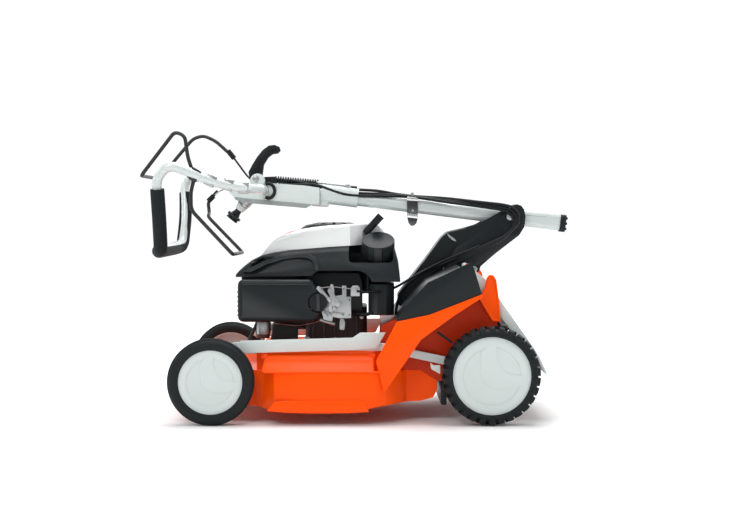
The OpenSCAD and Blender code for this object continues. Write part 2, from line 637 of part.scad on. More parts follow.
deck();
rear_housing();
side_rails();
fender(1);  // fender_left
fender(-1);  // fender_right
rear_cover();
catcher_hooks();
bracket_plates();
bracket_bolts();
engine_block();
cylinder_head();
blower_housing();
top_cover();
recoil_housing();
air_filter_box();
filter_knob();
fuel_tank();
fuel_cap();
carburettor();
control_plate();
throttle_lever();
muffler();
spark_plug();
gearbox();
chassis_cables();
drive_belt();
starter_grip();
crankshaft();
flywheel();
blade_carrier();
blade();
blade_bolt();
gearbox_pulley();
drive_shaft();
pinion(-1);  // pinion_left
pinion(1);  // pinion_right
rear_axle();
rear_tyre(-1);  // rear_tyre_left
rear_tyre(1);  // rear_tyre_right
rear_rim(-1);  // rear_rim_left
rear_rim(1);  // rear_rim_right
front_axle();
front_tyre(-1);  // front_tyre_left
front_tyre(1);  // front_tyre_right
front_rim(-1);  // front_rim_left
front_rim(1);  // front_rim_right
height_tie_bar();
rear_flap();
handle_column();
handle_head();
handlebar();
handle_grip();
column_cap();
rope_clip();
handle_cables();
stop_bail();
drive_bail();
speed_lever();
head_spring();
lock_knob();
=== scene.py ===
import json
import math

import bpy
from mathutils import Matrix, Vector

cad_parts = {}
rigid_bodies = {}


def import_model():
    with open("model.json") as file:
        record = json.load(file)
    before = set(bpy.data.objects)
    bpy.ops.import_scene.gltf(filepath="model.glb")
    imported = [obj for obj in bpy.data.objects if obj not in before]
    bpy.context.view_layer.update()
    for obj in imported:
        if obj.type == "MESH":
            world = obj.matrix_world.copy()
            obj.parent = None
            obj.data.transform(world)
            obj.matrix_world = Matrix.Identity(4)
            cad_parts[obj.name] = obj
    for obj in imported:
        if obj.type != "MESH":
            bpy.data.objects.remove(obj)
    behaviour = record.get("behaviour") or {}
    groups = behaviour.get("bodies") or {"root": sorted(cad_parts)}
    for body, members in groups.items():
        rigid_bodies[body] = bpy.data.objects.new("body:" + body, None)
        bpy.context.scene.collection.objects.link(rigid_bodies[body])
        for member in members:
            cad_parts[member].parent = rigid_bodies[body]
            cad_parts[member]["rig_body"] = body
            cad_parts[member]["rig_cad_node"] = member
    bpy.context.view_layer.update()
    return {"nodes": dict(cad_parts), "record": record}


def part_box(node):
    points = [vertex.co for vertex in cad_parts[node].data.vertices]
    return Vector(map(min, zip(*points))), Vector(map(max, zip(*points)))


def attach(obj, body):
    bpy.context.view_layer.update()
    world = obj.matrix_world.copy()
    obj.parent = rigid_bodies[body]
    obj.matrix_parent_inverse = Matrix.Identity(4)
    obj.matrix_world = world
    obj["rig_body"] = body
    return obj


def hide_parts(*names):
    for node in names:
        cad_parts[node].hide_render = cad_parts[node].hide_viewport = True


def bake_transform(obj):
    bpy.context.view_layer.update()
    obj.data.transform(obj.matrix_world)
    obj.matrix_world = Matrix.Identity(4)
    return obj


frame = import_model()
scene = bpy.context.scene

# ---- Camera ----
# The mower is seen square from its left-hand side, from about half a metre up, with the lens
# tipped slightly down and framed with room all round.
bpy.ops.object.camera_add(
    location=(0.020, -3.385, 0.485), rotation=(math.radians(90 - 2.14), 0, 0)
)
scene.camera = bpy.context.object
scene.camera.data.lens = 67.3
scene.camera.data.sensor_width = 36

# ---- Studio ----
# A pale floor that glows away from the mower, a lit white backdrop and five soft lights: the
# strongest overhead, one on the camera's side, and weaker ones at each end and behind.
bpy.ops.mesh.primitive_plane_add(size=30, location=(0, 0, -0.0005))
floor = bpy.context.object
floor.name = "studio_floor"
pale = bpy.data.materials.new("pale_floor")
pale.use_nodes = True
pale.node_tree.nodes["Principled BSDF"].inputs["Base Color"].default_value = (0.93, 0.93, 0.93, 1)
pale.node_tree.nodes["Principled BSDF"].inputs["Roughness"].default_value = 0.75
pale.node_tree.nodes["Principled BSDF"].inputs["Emission Color"].default_value = (1, 1, 1, 1)
# The floor's emission is painted light: none near the mower, rising to 0.55 three metres out, so the far
# floor glows white and the floor under the mower stays darker.
floor_place = pale.node_tree.nodes.new("ShaderNodeTexCoord")
floor_reach = pale.node_tree.nodes.new("ShaderNodeVectorMath")
floor_reach.operation = "LENGTH"
floor_glow = pale.node_tree.nodes.new("ShaderNodeMapRange")
for socket, value in (("From Min", 0.55), ("From Max", 3.2), ("To Min", 0.0), ("To Max", 0.55)):
    floor_glow.inputs[socket].default_value = value
pale.node_tree.links.new(floor_place.outputs["Object"], floor_reach.inputs[0])
pale.node_tree.links.new(floor_reach.outputs["Value"], floor_glow.inputs["Value"])
pale.node_tree.links.new(floor_glow.outputs["Result"],
                         pale.node_tree.nodes["Principled BSDF"].inputs["Emission Strength"])
floor.data.materials.append(pale)
bpy.ops.mesh.primitive_plane_add(size=24, location=(0, 7, 6), rotation=(math.radians(90), 0, 0))
backdrop = bpy.context.object
backdrop.name = "studio_backdrop"
lit_paper = bpy.data.materials.new("lit_paper")
lit_paper.use_nodes = True
lit_paper.node_tree.nodes["Principled BSDF"].inputs["Base Color"].default_value = (0, 0, 0, 1)
lit_paper.node_tree.nodes["Principled BSDF"].inputs["Emission Color"].default_value = (1, 1, 1, 1)
lit_paper.node_tree.nodes["Principled BSDF"].inputs["Emission Strength"].default_value = 1.02
backdrop.data.materials.append(lit_paper)
world = bpy.data.worlds.new("white_room")
world.use_nodes = True
world.node_tree.nodes["Background"].inputs["Color"].default_value = (1, 1, 1, 1)
world.node_tree.nodes["Background"].inputs["Strength"].default_value = 0.42
scene.world = world
for place, aim, size, watts in (
    ((0.0, 0.2, 2.6), (0, 0, 0.2), 1.8, 56),
    ((-0.9, -2.6, 2.3), (0, 0, 0.25), 1.2, 30),
    ((2.6, -0.6, 1.3), (0.1, 0, 0.3), 1.4, 12),
    ((-2.6, -0.2, 1.4), (-0.1, 0, 0.3), 1.4, 12),
    ((0.3, 2.8, 1.6), (0, 0, 0.3), 2.0, 14),
):
    bpy.ops.object.light_add(type="AREA", location=place)
    lamp = bpy.context.object
    lamp.data.size = size
    lamp.data.energy = watts
    lamp.rotation_euler = (Vector(aim) - Vector(place)).to_track_quat("-Z", "Y").to_euler()
scene.view_settings.view_transform = "Standard"

# ---- Cutting deck ----
# The deck is pressed from sheet steel and powder coated in glossy orange. A sloping shoulder
# runs from the ledge above the blade up to the engine plate, and its corners are well rounded.


def deselect_all():
    if bpy.context.mode != "OBJECT":
        bpy.ops.object.mode_set(mode="OBJECT")
    bpy.ops.object.select_all(action="DESELECT")


def pick(piece):
    deselect_all()
    piece.select_set(True)
    bpy.context.view_layer.objects.active = piece


def finish_with(piece, kind, **settings):
    """Adds one modifier, sets it and applies it."""
    pick(piece)
    modifier = piece.modifiers.new(kind.lower(), kind)
    for key, value in settings.items():
        setattr(modifier, key, value)
    bpy.ops.object.modifier_apply(modifier=modifier.name)


def round_edges(piece, width, segments=3, sharp=32, smooth=40):
    """Rounds every edge sharper than an angle, then shades the rest smooth."""
    finish_with(
        piece, "BEVEL", width=width, segments=segments, limit_method="ANGLE",
        angle_limit=math.radians(sharp), harden_normals=False,
    )
    pick(piece)
    bpy.ops.object.shade_smooth_by_angle(angle=math.radians(smooth))


def surface_group():
    """Fine grain, slow mottling and lighter rubbed edges, shared by every finish."""
    group = bpy.data.node_groups.new("worked_surface", "ShaderNodeTree")
    for name, kind, default in (
        ("Colour", "NodeSocketColor", (0.5, 0.5, 0.5, 1)), ("Mottle", "NodeSocketFloat", 0.1),
        ("Roughness", "NodeSocketFloat", 0.5), ("Spread", "NodeSocketFloat", 0.1),
        ("Grain", "NodeSocketFloat", 400.0), ("Depth", "NodeSocketFloat", 0.1),
        ("Rubbing", "NodeSocketFloat", 0.0),
    ):
        group.interface.new_socket(name=name, in_out="INPUT", socket_type=kind).default_value = default
    for name, kind in (("Colour", "NodeSocketColor"), ("Roughness", "NodeSocketFloat"),
                       ("Normal", "NodeSocketVector")):
        group.interface.new_socket(name=name, in_out="OUTPUT", socket_type=kind)
    nodes, links = group.nodes, group.links
    given, out = nodes.new("NodeGroupInput"), nodes.new("NodeGroupOutput")
    place = nodes.new("ShaderNodeTexCoord")
    slow, fine = nodes.new("ShaderNodeTexNoise"), nodes.new("ShaderNodeTexNoise")
    slow.inputs["Scale"].default_value = 14
    slow.inputs["Detail"].default_value = 3
    fine.inputs["Detail"].default_value = 2
    links.new(place.outputs["Object"], slow.inputs["Vector"])
    links.new(place.outputs["Object"], fine.inputs["Vector"])
    links.new(given.outputs["Grain"], fine.inputs["Scale"])
    centred = nodes.new("ShaderNodeMath")
    centred.operation = "SUBTRACT"
    centred.inputs[1].default_value = 0.5
    links.new(slow.outputs["Fac"], centred.inputs[0])
    tone = nodes.new("ShaderNodeMath")
    tone.operation = "MULTIPLY_ADD"
    tone.inputs[2].default_value = 1.0
    links.new(centred.outputs[0], tone.inputs[0])
    links.new(given.outputs["Mottle"], tone.inputs[1])
    shaded = nodes.new("ShaderNodeVectorMath")
    shaded.operation = "SCALE"
    links.new(given.outputs["Colour"], shaded.inputs[0])
    links.new(tone.outputs[0], shaded.inputs["Scale"])
    shape = nodes.new("ShaderNodeNewGeometry")
    edge = nodes.new("ShaderNodeMapRange")
    edge.inputs["From Min"].default_value = 0.52
    edge.inputs["From Max"].default_value = 0.62
    links.new(shape.outputs["Pointiness"], edge.inputs["Value"])
    rubbed = nodes.new("ShaderNodeMath")
    rubbed.operation = "MULTIPLY"
    links.new(edge.outputs["Result"], rubbed.inputs[0])
    links.new(given.outputs["Rubbing"], rubbed.inputs[1])
    lighter = nodes.new("ShaderNodeMix")
    lighter.data_type = "RGBA"
    lighter.inputs[7].default_value = (0.55, 0.56, 0.56, 1)
    links.new(rubbed.outputs[0], lighter.inputs[0])
    links.new(shaded.outputs["Vector"], lighter.inputs[6])
    links.new(lighter.outputs[2], out.inputs["Colour"])
    gloss = nodes.new("ShaderNodeMath")
    gloss.operation = "MULTIPLY_ADD"
    links.new(centred.outputs[0], gloss.inputs[0])
    links.new(given.outputs["Spread"], gloss.inputs[1])
    links.new(given.outputs["Roughness"], gloss.inputs[2])
    links.new(gloss.outputs[0], out.inputs["Roughness"])
    bump = nodes.new("ShaderNodeBump")
    bump.inputs["Distance"].default_value = 0.0004
    links.new(given.outputs["Depth"], bump.inputs["Strength"])
    links.new(fine.outputs["Fac"], bump.inputs["Height"])
    links.new(bump.outputs["Normal"], out.inputs["Normal"])
    return group


worked_surface = surface_group()


def new_finish(name, colour, roughness, metallic=0.0, coat=0.0, coat_roughness=0.1, sheen=0.0,
               specular=0.5, **surface):
    """A material whose colour, roughness and relief come from the shared surface group."""
    material = bpy.data.materials.new(name)
    material.use_nodes = True
    nodes, links = material.node_tree.nodes, material.node_tree.links
    shader = nodes["Principled BSDF"]
    shader.inputs["Metallic"].default_value = metallic
    shader.inputs["Coat Weight"].default_value = coat
    shader.inputs["Coat Roughness"].default_value = coat_roughness
    shader.inputs["Sheen Weight"].default_value = sheen
    shader.inputs["Specular IOR Level"].default_value = specular
    relief = nodes.new("ShaderNodeGroup")
    relief.node_tree = worked_surface
    relief.inputs["Colour"].default_value = (*colour, 1)
    relief.inputs["Roughness"].default_value = roughness
    for key, value in surface.items():
        relief.inputs[key.capitalize()].default_value = value
    links.new(relief.outputs["Colour"], shader.inputs["Base Color"])
    links.new(relief.outputs["Roughness"], shader.inputs["Roughness"])
    links.new(relief.outputs["Normal"], shader.inputs["Normal"])
    return material


def dress(piece, material):
    piece.data.materials.clear()
    piece.data.materials.append(material)
    return piece


node_body = {node: body for body, nodes in frame["record"]["behaviour"]["bodies"].items() for node in nodes}


def stand_in(piece, *nodes):
    """The piece rides where its first CAD node does and hides those nodes."""
    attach(piece, node_body[nodes[0]])
    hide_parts(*nodes)
    return piece


def add_on(piece, body):
    """A piece of trim that has no CAD node of its own."""
    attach(piece, body)
    return piece


def copy_of(node, name):
    """A clean copy of a CAD node's mesh: doubles merged and flat stretches joined."""
    piece = frame["nodes"][node].copy()
    piece.data = piece.data.copy()
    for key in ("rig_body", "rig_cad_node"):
        del piece[key]
    piece.parent = None
    piece.name = name
    scene.collection.objects.link(piece)
    pick(piece)
    bpy.ops.mesh.customdata_custom_splitnormals_clear()
    bpy.ops.object.mode_set(mode="EDIT")
    bpy.ops.mesh.select_all(action="SELECT")
    bpy.ops.mesh.remove_doubles(threshold=0.00002)
    bpy.ops.mesh.dissolve_limited(angle_limit=math.radians(0.6))
    bpy.ops.object.mode_set(mode="OBJECT")
    return piece


def rounded(node, width, material, name=None, segments=3, sharp=32):
    """A part whose shape the frame already has, with its edges rounded as moulding leaves them."""
    piece = copy_of(node, name or node + "_finished")
    round_edges(piece, width, segments, sharp)
    return stand_in(dress(piece, material), node)


orange_paint = new_finish("orange_paint", (1.0, 0.084, 0.0), 0.34, coat=0.04, coat_roughness=0.08,
                          specular=0.10, mottle=0.06, spread=0.1, grain=260, depth=0.05)
rounded("deck", 0.007, orange_paint, segments=4)

shoulder_low, shoulder_high = 0.121, 0.166
for side in (-1, 1):
    bpy.ops.mesh.primitive_cube_add(size=1, location=(-0.088, side * 0.215,
                                                      (shoulder_low + shoulder_high) / 2),
                                    scale=(0.262, 0.080, shoulder_high - shoulder_low))
    shoulder = bpy.context.object
    shoulder.name = "deck_shoulder_" + ("left" if side < 0 else "right")
    bpy.ops.object.transform_apply(location=True, rotation=False, scale=True)
    for vertex in shoulder.data.vertices:
        if vertex.co.z > 0.15:
            outer = abs(vertex.co.y) > 0.22
            vertex.co.y = side * (0.196 if outer else 0.178)
            vertex.co.x *= 0.97
    round_edges(shoulder, 0.006, 4)
    dress(shoulder, orange_paint)
    add_on(shoulder, "chassis")

# Pressed details on each side: a long ridge just under the rail and a raised panel low down.


def cut_plate(name, outline, y_low, y_high, material, edge=0.001, segments=3, sharp=32):
    """A solid with a given outline in X and Z, as thick as y_low to y_high, edges rounded."""
    deselect_all()
    bpy.ops.mesh.primitive_circle_add(vertices=len(outline), radius=1, fill_type="NGON")
    piece = bpy.context.object
    piece.name = name
    for vertex, (x, z) in zip(piece.data.vertices, outline):
        vertex.co = (x, y_low, z)
    bpy.ops.object.mode_set(mode="EDIT")
    bpy.ops.mesh.select_all(action="SELECT")
    bpy.ops.mesh.extrude_region_move(TRANSFORM_OT_translate={"value": (0, y_high - y_low, 0)})
    bpy.ops.mesh.select_all(action="SELECT")
    bpy.ops.mesh.normals_make_consistent(inside=False)
    bpy.ops.object.mode_set(mode="OBJECT")
    if edge:
        round_edges(piece, edge, segments, sharp)
    return dress(piece, material)


for side in (-1, 1):
    wall = side * 0.2600
    for name, outline, reach, edge in (
        ("deck_lower_panel", [(-0.207, 0.034), (-0.190, 0.0545), (-0.176, 0.0580), (0.006, 0.0600),
                              (0.020, 0.0560), (0.030, 0.032), (-0.020, 0.0290), (-0.107, 0.0285),
                              (-0.160, 0.0300)], 0.0032, 0.0028),
        ("deck_top_ridge", [(-0.214, 0.1215), (-0.209, 0.1262), (0.058, 0.1262), (0.062, 0.1215)],
         0.0012, 0.0022),
    ):
        panel = cut_plate(name + ("_left" if side < 0 else "_right"), outline, wall - side * 0.004,
                          wall + side * reach, orange_paint, edge=edge, segments=4)
        add_on(panel, "chassis")

# ---- Rear housing and fenders ----
# Behind the blade the housing rises into the discharge tunnel, painted inside and out; its orange is given as
# a deep red, painted shade for the tunnel's dark inside.
# Thin orange fenders stand outside it, and a black moulded cover closes the gap on top.
# Painted shade: the housing's orange darkened to a deep red for the shadowed tunnel.
orange_in_painted_shade = new_finish("inner_orange_paint", (0.52, 0.030, 0.002), 0.45, specular=0.15,
                        mottle=0.2, spread=0.15, grain=260, depth=0.06)
rounded("rear_housing", 0.0014, orange_in_painted_shade, segments=2)
for side in ("left", "right"):
    rounded("fender_" + side, 0.0016, orange_paint)

charcoal = new_finish("charcoal_plastic", (0.0085, 0.0128, 0.0142), 0.38, mottle=0.12, spread=0.14,
                      grain=900, depth=0.22, specular=0.2, rubbing=0.05)
cover = copy_of("rear_cover", "rear_cover_finished")
cover_top = max(vertex.co.z for vertex in cover.data.vertices)
for vertex in cover.data.vertices:
    rise = max(0.0, vertex.co.z - 0.310) / (cover_top - 0.310)
    vertex.co.z -= 0.002 * rise
round_edges(cover, 0.0019)
stand_in(dress(cover, charcoal), "rear_cover")

# The side rails are grey mouldings clipped along the deck, each with a shallow panel
# sunk into its outer face.
light_grey = new_finish("light_grey_plastic", (0.60, 0.665, 0.65), 0.46, mottle=0.05, spread=0.1,
                        grain=700, depth=0.08)


def sink_faces(piece, along, border, depth, least_area=0.0008, beyond=0.0):
    """Insets the large faces that look along a direction and pushes them in."""
    direction = Vector(along)
    pick(piece)
    for face in piece.data.polygons:
        face.select = (face.normal.dot(direction) > 0.95 and face.area > least_area
                       and face.center.dot(direction) > beyond)
    bpy.ops.object.mode_set(mode="EDIT")
    bpy.ops.mesh.select_mode(type="FACE")
    bpy.ops.mesh.inset(thickness=border, depth=0)
    bpy.ops.mesh.inset(thickness=0.0012, depth=-depth)
    bpy.ops.object.mode_set(mode="OBJECT")


rails = copy_of("side_rails", "side_rails_finished")
for outward in (-1, 1):
    sink_faces(rails, (0, outward, 0), 0.0075, 0.0032)
round_edges(rails, 0.0012)
stand_in(dress(rails, light_grey), "side_rails")

# The catcher hooks are fins in the deck's paint with a shallow panel on their outer side.
hooks = copy_of("catcher_hooks", "catcher_hooks_finished")
for outward in (-1, 1):
    sink_faces(hooks, (0, outward, 0), 0.0035, 0.0026, least_area=0.0004)
round_edges(hooks, 0.0014, 3)
stand_in(dress(hooks, orange_paint), "catcher_hooks")

# A black apron hangs across the tunnel behind the blade.
bpy.ops.mesh.primitive_cube_add(size=1, location=(0.206, 0, 0.072), scale=(0.014, 0.364, 0.070))
apron = bpy.context.object
apron.name = "rear_apron"
bpy.ops.object.transform_apply(location=True, rotation=False, scale=True)
round_edges(apron, 0.003)
add_on(dress(apron, charcoal), "chassis")

# ---- Wheels ----
# Rubber tyres on moulded grey wheels. The front tyres are smooth; the rear ones, which drive,
# have two rows of staggered blocks. Each wheel's outer face is a closed cover with a border
# ring, a shallow dish and a swept raised rib.
tyre_rubber = new_finish("tyre_rubber", (0.0085, 0.0125, 0.0135), 0.58, mottle=0.15, spread=0.12,
                         grain=500, depth=0.2, specular=0.22)


def turned(name, outline, centre, material, steps=120, inside=False):
    """Spins an outline of (radius, offset along Y) points about a wheel's axis."""
    deselect_all()
    bpy.ops.mesh.primitive_circle_add(vertices=len(outline), radius=0.01, fill_type="NOTHING")
    piece = bpy.context.object
    piece.name = name
    for vertex, (radius, offset) in zip(piece.data.vertices, outline):
        vertex.co = (radius, offset, 0)
    bpy.ops.object.mode_set(mode="EDIT")
    bpy.ops.mesh.select_all(action="SELECT")
    bpy.ops.mesh.spin(steps=steps, angle=math.tau, center=(0, 0, 0), axis=(0, 1, 0))
    bpy.ops.mesh.select_all(action="SELECT")
    bpy.ops.mesh.remove_doubles(threshold=0.00001)
    bpy.ops.mesh.normals_make_consistent(inside=inside)
    bpy.ops.object.mode_set(mode="OBJECT")
    piece.data.transform(Matrix.Translation(centre))
    pick(piece)
    bpy.ops.object.shade_smooth_by_angle(angle=math.radians(30))
    return dress(piece, material)


def arc(centre_r, centre_y, radius, start, end, count):
    """Points of (radius, offset) along an arc, angles in degrees from the radial direction."""
    return [(centre_r + radius * math.cos(math.radians(start + (end - start) * k / (count - 1))),
             centre_y + radius * math.sin(math.radians(start + (end - start) * k / (count - 1))))
            for k in range(count)]


for end in ("front", "rear"):
    for side in ("left", "right"):
        out = -1 if side == "left" else 1
        body = f"{end}_wheel_{side}"
        low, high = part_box(f"{end}_tyre_{side}")
        hub = Vector(((low[0] + high[0]) / 2, (low[1] + high[1]) / 2, (low[2] + high[2]) / 2))
        tyre_radius = (high[2] - low[2]) / 2
        half_width = (high[1] - low[1]) / 2
        cover_radius = (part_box(f"{end}_rim_{side}")[1][2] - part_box(f"{end}_rim_{side}")[0][2]) / 2

        crown = tyre_radius - (0.0068 if end == "rear" else 0.0)
        outline = [(cover_radius, half_width - 0.003)]
        outline += arc(crown - 0.014, half_width - 0.013, 0.013, 100, 25, 7)
        outline += arc(crown - 0.080, 0.0, 0.080, 10, -10, 7)
        outline += arc(crown - 0.014, 0.013 - half_width, 0.013, -25, -100, 7)
        outline += [(cover_radius, 0.003 - half_width)]
        tyre = turned(f"{body}_tyre_rubber", outline, hub, tyre_rubber)

        if end == "front":
            for groove in (-0.010, 0.0, 0.010):
                bpy.ops.mesh.primitive_torus_add(location=hub + Vector((0, groove, 0)),
                                                 rotation=(math.pi / 2, 0, 0),
                                                 major_radius=tyre_radius - 0.0006, minor_radius=0.0010,
                                                 major_segments=120, minor_segments=8)
                rib = bpy.context.object
                rib.name = f"{body}_tread_ring"
                bpy.ops.object.transform_apply(location=True, rotation=True, scale=True)
                dress(rib, tyre_rubber)
                tyre.select_set(True)
                bpy.context.view_layer.objects.active = tyre
                bpy.ops.object.join()
        else:
            blocks = 30
            for row in (-1, 1):
                for k in range(blocks):
                    turn = math.tau * (k + (0.3 if row > 0 else 0)) / blocks
                    bpy.ops.mesh.primitive_cube_add(size=1, scale=(0.0152, 0.0225, 0.0165))
                    block = bpy.context.object
                    bpy.ops.object.transform_apply(location=False, rotation=False, scale=True)
                    for vertex in block.data.vertices:
                        if vertex.co.z > 0:
                            vertex.co.x *= 0.84
                            if vertex.co.y * row > 0:
                                vertex.co.z -= 0.0040
                                vertex.co.y += row * 0.0015
                    block.location = hub + Vector((math.sin(turn) * (tyre_radius - 0.0083),
                                                   row * (half_width - 0.0110),
                                                   math.cos(turn) * (tyre_radius - 0.0083)))
                    block.rotation_euler = (0, turn, 0)
                    bpy.ops.object.transform_apply(location=True, rotation=True, scale=False)
                    dress(block, tyre_rubber)
                    finish_with(block, "BEVEL", width=0.0012, segments=2)
                    block.name = f"{body}_block"
            deselect_all()
            for piece in bpy.data.objects:
                if piece.name.startswith(f"{body}_block"):
                    piece.select_set(True)
            tyre.select_set(True)
            bpy.context.view_layer.objects.active = tyre
            bpy.ops.object.join()
        stand_in(tyre, f"{end}_tyre_{side}")

        face = out * (half_width + 0.0005)
        step = cover_radius
        cover = turned(f"{body}_cover",
                       [(0.0001, face - out * 0.0060), (step * 0.68, face - out * 0.0058),
                        (step * 0.71, face - out * 0.0050), (step * 0.745, face - out * 0.0010),
                        (step * 0.78, face), (step * 0.90, face - out * 0.0006),
                        (step * 0.96, face - out * 0.0030), (step * 0.998, face - out * 0.0085),
                        (step * 0.998, face - out * 0.016), (step * 0.95, face - out * 0.016),
                        (step * 0.93, face - out * 0.0095), (0.0001, face - out * 0.0095)], hub,
                       light_grey)
        add_on(cover, body)

        # The rib: up from the middle, round a wide bend and out towards the rear.
        outer = [(-0.145, 0.80), (-0.30, 0.60), (-0.30, 0.18)]
        outer += [(-0.30 + 0.42 - 0.42 * math.cos(math.radians(a)), 0.10 - 0.42 * math.sin(math.radians(a)))
                  for a in range(0, 91, 15)]
        outer += [(0.40, -0.325), (0.62, -0.295), (0.76, -0.25)]
        inner = [(0.80, 0.02), (0.62, 0.045)]
        inner += [(0.60 - 0.46 * math.sin(math.radians(a)), 0.52 - 0.475 * math.cos(math.radians(a)))
                  for a in range(20, 91, 14)]
        inner += [(0.12, 0.62), (0.115, 0.80)]
        rib_low = hub.y + face - out * 0.0062
        rib = cut_plate(f"{body}_rib", [(hub.x + x * step, hub.z + z * step) for x, z in outer + inner],
                        rib_low, rib_low + out * 0.0068, light_grey, edge=0.0022, segments=4, sharp=40)
        add_on(rib, body)

# ---- Engine: castings and tank ----
# The block and head are rough aluminium castings, browned by heat, with the head's fins
# towards the front. The steel silencer sits on the far side.
cast_metal = new_finish("cast_aluminium", (0.052, 0.044, 0.042), 0.5, metallic=0.4, mottle=0.5,
                        spread=0.3, grain=320, depth=0.5, rubbing=0.15)
zinc = new_finish("zinc_plate", (0.40, 0.42, 0.42), 0.32, metallic=0.85, mottle=0.12, spread=0.2,
                  grain=900, depth=0.06)
dark_steel = new_finish("dark_steel", (0.05, 0.048, 0.047), 0.5, metallic=0.6, mottle=0.4, spread=0.3,
                        grain=400, depth=0.3, rubbing=0.2)
rounded("engine_block", 0.006, cast_metal)
rounded("cylinder_head", 0.0012, cast_metal, segments=2)
rounded("muffler", 0.006, dark_steel)
rounded("carburettor", 0.003, zinc)
rounded("fuel_tank", 0.007, charcoal, segments=4)
rounded("fuel_cap", 0.0028, charcoal, segments=3)
rounded("flywheel", 0.001, cast_metal, segments=2)

# Ribs and bolts stand on the block's near wall.
block_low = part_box("engine_block")[0]
for k in range(5):
    bpy.ops.mesh.primitive_cube_add(size=1, location=(block_low[0] + 0.030 + k * 0.026, -0.088, 0.212),
                                    scale=(0.0035, 0.010, 0.064))
    fin = bpy.context.object
    fin.name = f"block_rib_{k + 1}"
    bpy.ops.object.transform_apply(location=True, rotation=False, scale=True)
    round_edges(fin, 0.0012, 2)
    add_on(dress(fin, cast_metal), "chassis")
for k, (x, z) in enumerate(((-0.118, 0.186), (-0.118, 0.238), (0.012, 0.186), (0.012, 0.238),
                            (-0.052, 0.184))):
    bpy.ops.mesh.primitive_cylinder_add(vertices=6, radius=0.0058, depth=0.007, location=(x, -0.090, z),
                                        rotation=(math.pi / 2, 0, 0))
    bolt = bpy.context.object
    bolt.name = f"block_bolt_{k + 1}"
    bpy.ops.object.transform_apply(location=True, rotation=True, scale=True)
    round_edges(bolt, 0.0007, 2)
    add_on(dress(bolt, zinc), "chassis")

# ---- Engine: black cowl and white top cover ----
# The cowl is a black moulding over the fan and cylinder, open below, with its near edge
# stepped up over the governor. The glossy white cover with the round intake grille sits on it.


def soften(outline, radius, steps=5):
    """Rounds the corners of an outline of (x, z) points; radius is one number or one per corner."""
    count = len(outline)
    radii = radius if isinstance(radius, (list, tuple)) else [radius] * count
    result = []
    for k in range(count):
        corner, before, after = (Vector(outline[i % count]) for i in (k, k - 1, k + 1))
        reach = min(radii[k], 0.48 * (before - corner).length, 0.48 * (after - corner).length)
        start = corner + (before - corner).normalized() * reach
        end = corner + (after - corner).normalized() * reach
        for step in range(steps + 1):
            t = step / steps
            result.append(tuple(start.lerp(corner, t).lerp(corner.lerp(end, t), t)))
    return result


def boxed_out(piece, low, high, edge=0.0):
    """Cuts away everything inside a box, with the box's edges rounded."""
    deselect_all()
    middle = [(a + b) / 2 for a, b in zip(low, high)]
    bpy.ops.mesh.primitive_cube_add(size=1, location=middle, scale=[b - a for a, b in zip(low, high)])
    cutter = bpy.context.object
    bpy.ops.object.transform_apply(location=True, rotation=True, scale=True)
    if edge:
        finish_with(cutter, "BEVEL", width=edge, segments=5)
    finish_with(piece, "BOOLEAN", object=cutter, operation="DIFFERENCE", solver="EXACT")
    bpy.data.objects.remove(cutter)


def loop_edges(piece, test):
    """Selects the edges whose middle passes a test, in edge mode, and leaves edit mode on."""
    pick(piece)
    bpy.ops.object.mode_set(mode="EDIT")
    bpy.ops.mesh.select_mode(type="EDGE")
    bpy.ops.mesh.select_all(action="DESELECT")
    bpy.ops.object.mode_set(mode="OBJECT")
    for edge in piece.data.edges:
        ends = [piece.data.vertices[v].co for v in edge.vertices]
        edge.select = bool(test(ends[0], ends[1]))
    bpy.ops.object.mode_set(mode="EDIT")


cowl_top = [(-0.288, 0.337), (-0.288, 0.3426), (-0.280, 0.353), (-0.272, 0.361), (-0.252, 0.3765),
            (-0.228, 0.3885), (-0.200, 0.395), (-0.150, 0.403), (-0.060, 0.410), (0.020, 0.4145),
            (0.070, 0.416), (0.090, 0.412), (0.099, 0.377), (0.104, 0.330), (0.104, 0.3262)]
cowl_foot = [(0.036, 0.3262), (0.030, 0.338), (0.020, 0.347), (0.006, 0.353), (-0.088, 0.353),
             (-0.098, 0.349), (-0.108, 0.340)]
cowl = cut_plate("engine_cowl", cowl_top + cowl_foot, -0.152, 0.152, charcoal, edge=0)
for vertex in cowl.data.vertices:
    rise = max(0.0, min(1.0, (vertex.co.z - 0.352) / 0.060))
    vertex.co.y *= 1 - 0.20 * rise
    if vertex.co.x < -0.25:
        vertex.co.y *= 0.90
loop_edges(cowl, lambda a, b: abs(a.y - b.y) < 0.03 and min(a.z, b.z) > 0.352 and max(a.x, b.x) < 0.0995)
bpy.ops.mesh.bevel(offset=0.020, segments=6, affect="EDGES")
bpy.ops.object.mode_set(mode="OBJECT")
round_edges(cowl, 0.0016, 3, sharp=38, smooth=50)


def bored(piece, radius, depth, centre, along):
    """Cuts a round hole or well with the Boolean modifier."""
    deselect_all()
    bpy.ops.mesh.primitive_cylinder_add(vertices=96, radius=radius, depth=depth, location=centre,
                                        rotation=Vector(along).to_track_quat("Z", "Y").to_euler())
    cutter = bpy.context.object
    bpy.ops.object.transform_apply(location=True, rotation=True, scale=True)
    finish_with(piece, "BOOLEAN", object=cutter, operation="DIFFERENCE", solver="EXACT")
    bpy.data.objects.remove(cutter)


